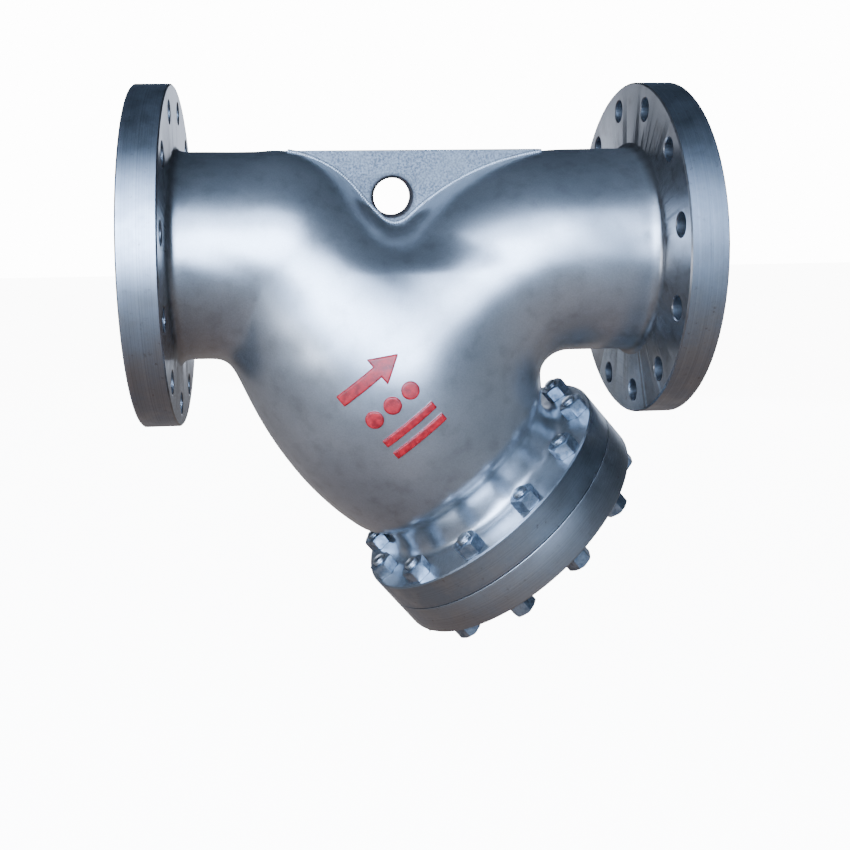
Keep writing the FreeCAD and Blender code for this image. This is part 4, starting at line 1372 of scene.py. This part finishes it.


# Painted shade: the eye's bore and chamfers are near black, for the shadow inside the hole.
painted_shade = clouded(
    "black_oxide_in_eye", 7, ("#1d2125", "#37322f"), (5, 0.55, 0.75, 0.6, "#5a2a1e"),
    (0.50, 0.65), ((7, 0.2),), metallic=0.6)
weld_metal = clouded(
    "brushed_weld_metal", 1.8, ("#757c82", "#a2a8ad"), (16, 0.50, 0.75, 0.45, "#75695c"),
    (0.34, 0.50), ((1.8, 0.1),), metallic=0.6)
dress(plate_with_painted_eye_shade(8 * MM), web)
web.data.materials.append(painted_shade)
middles = rows_of(web.data.polygons, "center")
# The faces of the eye's bore and chamfers take the painted shade.
in_eye = np.hypot(middles[:, 0] - EYE[0], middles[:, 2] - EYE[2]) < eye_flare + TOUCH
in_eye &= np.abs(rows_of(web.data.polygons, "normal")[:, 1]) < 0.9
web.data.polygons.foreach_set("material_index", in_eye.astype(np.int32))
dress(weld_metal, beads)
print("web and beads dressed")

# %% [markdown]
# The raised marks are picked out by hand in red enamel.  Enamel is a glossy paint, so it is a
# coloured base under a clear coat, a little darker where the brush left it thick and rubbed
# through to pink primer in small spots.

# %% Enamel
enamel = clouded(
    "red_brushed_enamel", 6, ("#6e040e", "#a00a18"), (1.5, 0.60, 0.75, 0.3, "#d6606a"),
    (0.36, 0.52), ((6, 0.25), (1.5, 0.05)), metallic=0.0, coat_weight=0.15, coat_roughness=0.30)
dress(enamel, marks)
print("marks dressed")

# %% [markdown]
# The small pieces are bare metals, each drawn by what it is and how it was worked.  Zinc plate on
# the nuts is blue-grey with dull bloom.  Drawn steel studs are bright, with oil in the threads.
# Rolled stainless is even and cool.  Annealed copper is soft and browned by handling, and the
# gasket is graphite between steel windings, so it is dark with fine bright lines.

# %% Small metals
small_metals = {
    "hexagon": clouded(
        "zinc_plated_steel", 9, ("#a4b1bf", "#6f7a86"), (0.9, 0.55, 0.80, 0.3, "#58616b"),
        (0.32, 0.48), ((0.9, 0.03),), metallic=1.0),
    "threaded": clouded(
        "bright_drawn_steel", 12, ("#cfd5db", "#8f979f"), (0.8, 0.55, 0.80, 0.3, "#6c7278"),
        (0.28, 0.36), ((0.8, 0.02),), metallic=1.0),
    "screen": clouded(
        "rolled_stainless", 40, ("#c6c7c8", "#a5a6a6"), (1.2, 0.55, 0.80, 0.2, "#85878a"),
        (0.28, 0.38), ((1.2, 0.02),), metallic=1.0),
    "copper": clouded(
        "annealed_copper", 8, ("#c58263", "#8a5340"), (0.7, 0.55, 0.80, 0.3, "#6b3f30"),
        (0.29, 0.42), ((0.7, 0.02),), metallic=1.0),
    "windings": clouded(
        "graphite_and_steel_winding", 6, ("#8a8d91", "#3b3d40"), (0.8, 0.55, 0.80, 0.3, "#26282a"),
        (0.39, 0.55), ((0.8, 0.03),), metallic=0.8)}
small_metals["inner_ring"] = small_metals["screen"]
cad_nodes = set(frame["nodes"].values())
new_pieces = [item for item in bpy.data.objects if item.type == "MESH" and item not in cad_nodes]
for word, material in small_metals.items():
    chosen = [piece for piece in new_pieces if word in piece.name]
    dress(material, *chosen)
    print(f"{material.name}: {len(chosen)} pieces")

# %% [markdown]
# The strainer hangs in a plain studio.  A broad soft panel faces it from behind the camera and
# gives the long bright band on the arms.  The ceiling stays dark, so the tops fall to slate, and a
# weak warm light comes from below.  The floor and the surroundings are near white to the eye, but
# are kept out of the reflections, which would wash the metal out.

# %% Lights
def soft_panel(name, place, target, width, height, watts, colour):
    """An area light at place that faces target, unseen by the camera itself."""
    data = bpy.data.lights.new(name, "AREA")
    data.shape = "RECTANGLE"
    data.size, data.size_y = width, height
    data.energy = watts
    data.color = linear(colour)[:3]
    light = bpy.data.objects.new(name, data)
    facing = (Vector(place) - Vector(target)).to_track_quat("Z", "Y")
    light.matrix_world = Matrix.Translation(place) @ facing.to_matrix().to_4x4()
    light.visible_camera = False
    bpy.context.scene.collection.objects.link(light)
    return light


heart = (PIPE_LENGTH / 2, 0.0, -0.05)
soft_panel("front_panel", (-0.34, -2.22, 1.10), heart, 3.8, 2.6, 240, "#bdd5fb")
soft_panel("bright_panel", (-0.10, -1.95, 0.72), heart, 1.9, 1.0, 100, "#c8deff")
soft_panel("low_left_panel", (-1.55, -1.50, -0.18), heart, 1.5, 0.42, 22, "#e6efff")
soft_panel("back_panel", (0.9, 2.6, -0.15), heart, 3.0, 1.2, 26, "#dfeaff")

# %% [markdown]
# The surroundings are a ramp over height: slate above, dim grey at the sides and warm below.  The
# Light Path node swaps it for plain white wherever the eye looks straight past the strainer.  The
# floor lies below the strainer by more than the cover's travel, so that the cover and the screen
# have room to come off over it.

# %% Surroundings and floor
def surroundings():
    """White to the eye; to reflections, a ramp over the height of the direction from -1 to 1."""
    world = bpy.data.worlds.new("studio")
    bpy.context.scene.world = world
    world.use_nodes = True
    tree = world.node_tree
    direction = add(tree, "TexCoord", "Generated")
    height = add(tree, "SeparateXYZ", "Z", {0: direction})
    height = add(tree, "MapRange", "Result", {"Value": height, "From Min": -1.0})
    ramp = add(tree, "ValToRGB", 0, {0: height})
    stops = ramp.node.color_ramp.elements
    stops[0].position, stops[0].color = 0.0, linear("#85746c")
    stops[1].position, stops[1].color = 1.0, linear("#1a2129")
    for position, colour in ((0.20, "#a29a98"), (0.42, "#8c9199"), (0.56, "#27303a")):
        stops.new(position).color = linear(colour)
    seen = add(tree, "LightPath", "Is Camera Ray")
    white = add(tree, "Mix", 2, {
        0: seen, 6: ramp, 7: linear("#ffffff", 14.0)}, data_type="RGBA")
    tree.links.new(white, tree.nodes["Background"].inputs["Color"])


def pale_floor(low):
    """A wide floor at height low, with a glow so that it is as white as its surroundings."""
    reach = 6.0
    floor = new_piece("floor", [[-reach, -reach, low], [reach, -reach, low], [reach, reach, low],
                                [-reach, reach, low]], [[0, 1, 2, 3]])
    material = clouded(
        "pale_floor", 300, ("#f4f4f3", "#fbfbfb"), (90, 0.5, 0.8, 0.2, "#f0f0ef"),
        (0.86, 0.94), (), emission_color=linear("#ffffff"), emission_strength=11.0)
    dress(material, floor)
    floor.visible_glossy = False
    floor.visible_diffuse = False


surroundings()
cover_travel = joints["cover_off"]["range_m"][1]
pale_floor(cad_box[0][2] - cover_travel)
print("studio ready")

# %% [markdown]
# The last step prints the box of the CAD pieces again and hands the scene over.

# %% Sizes and finish
print("CAD box", cad_box)
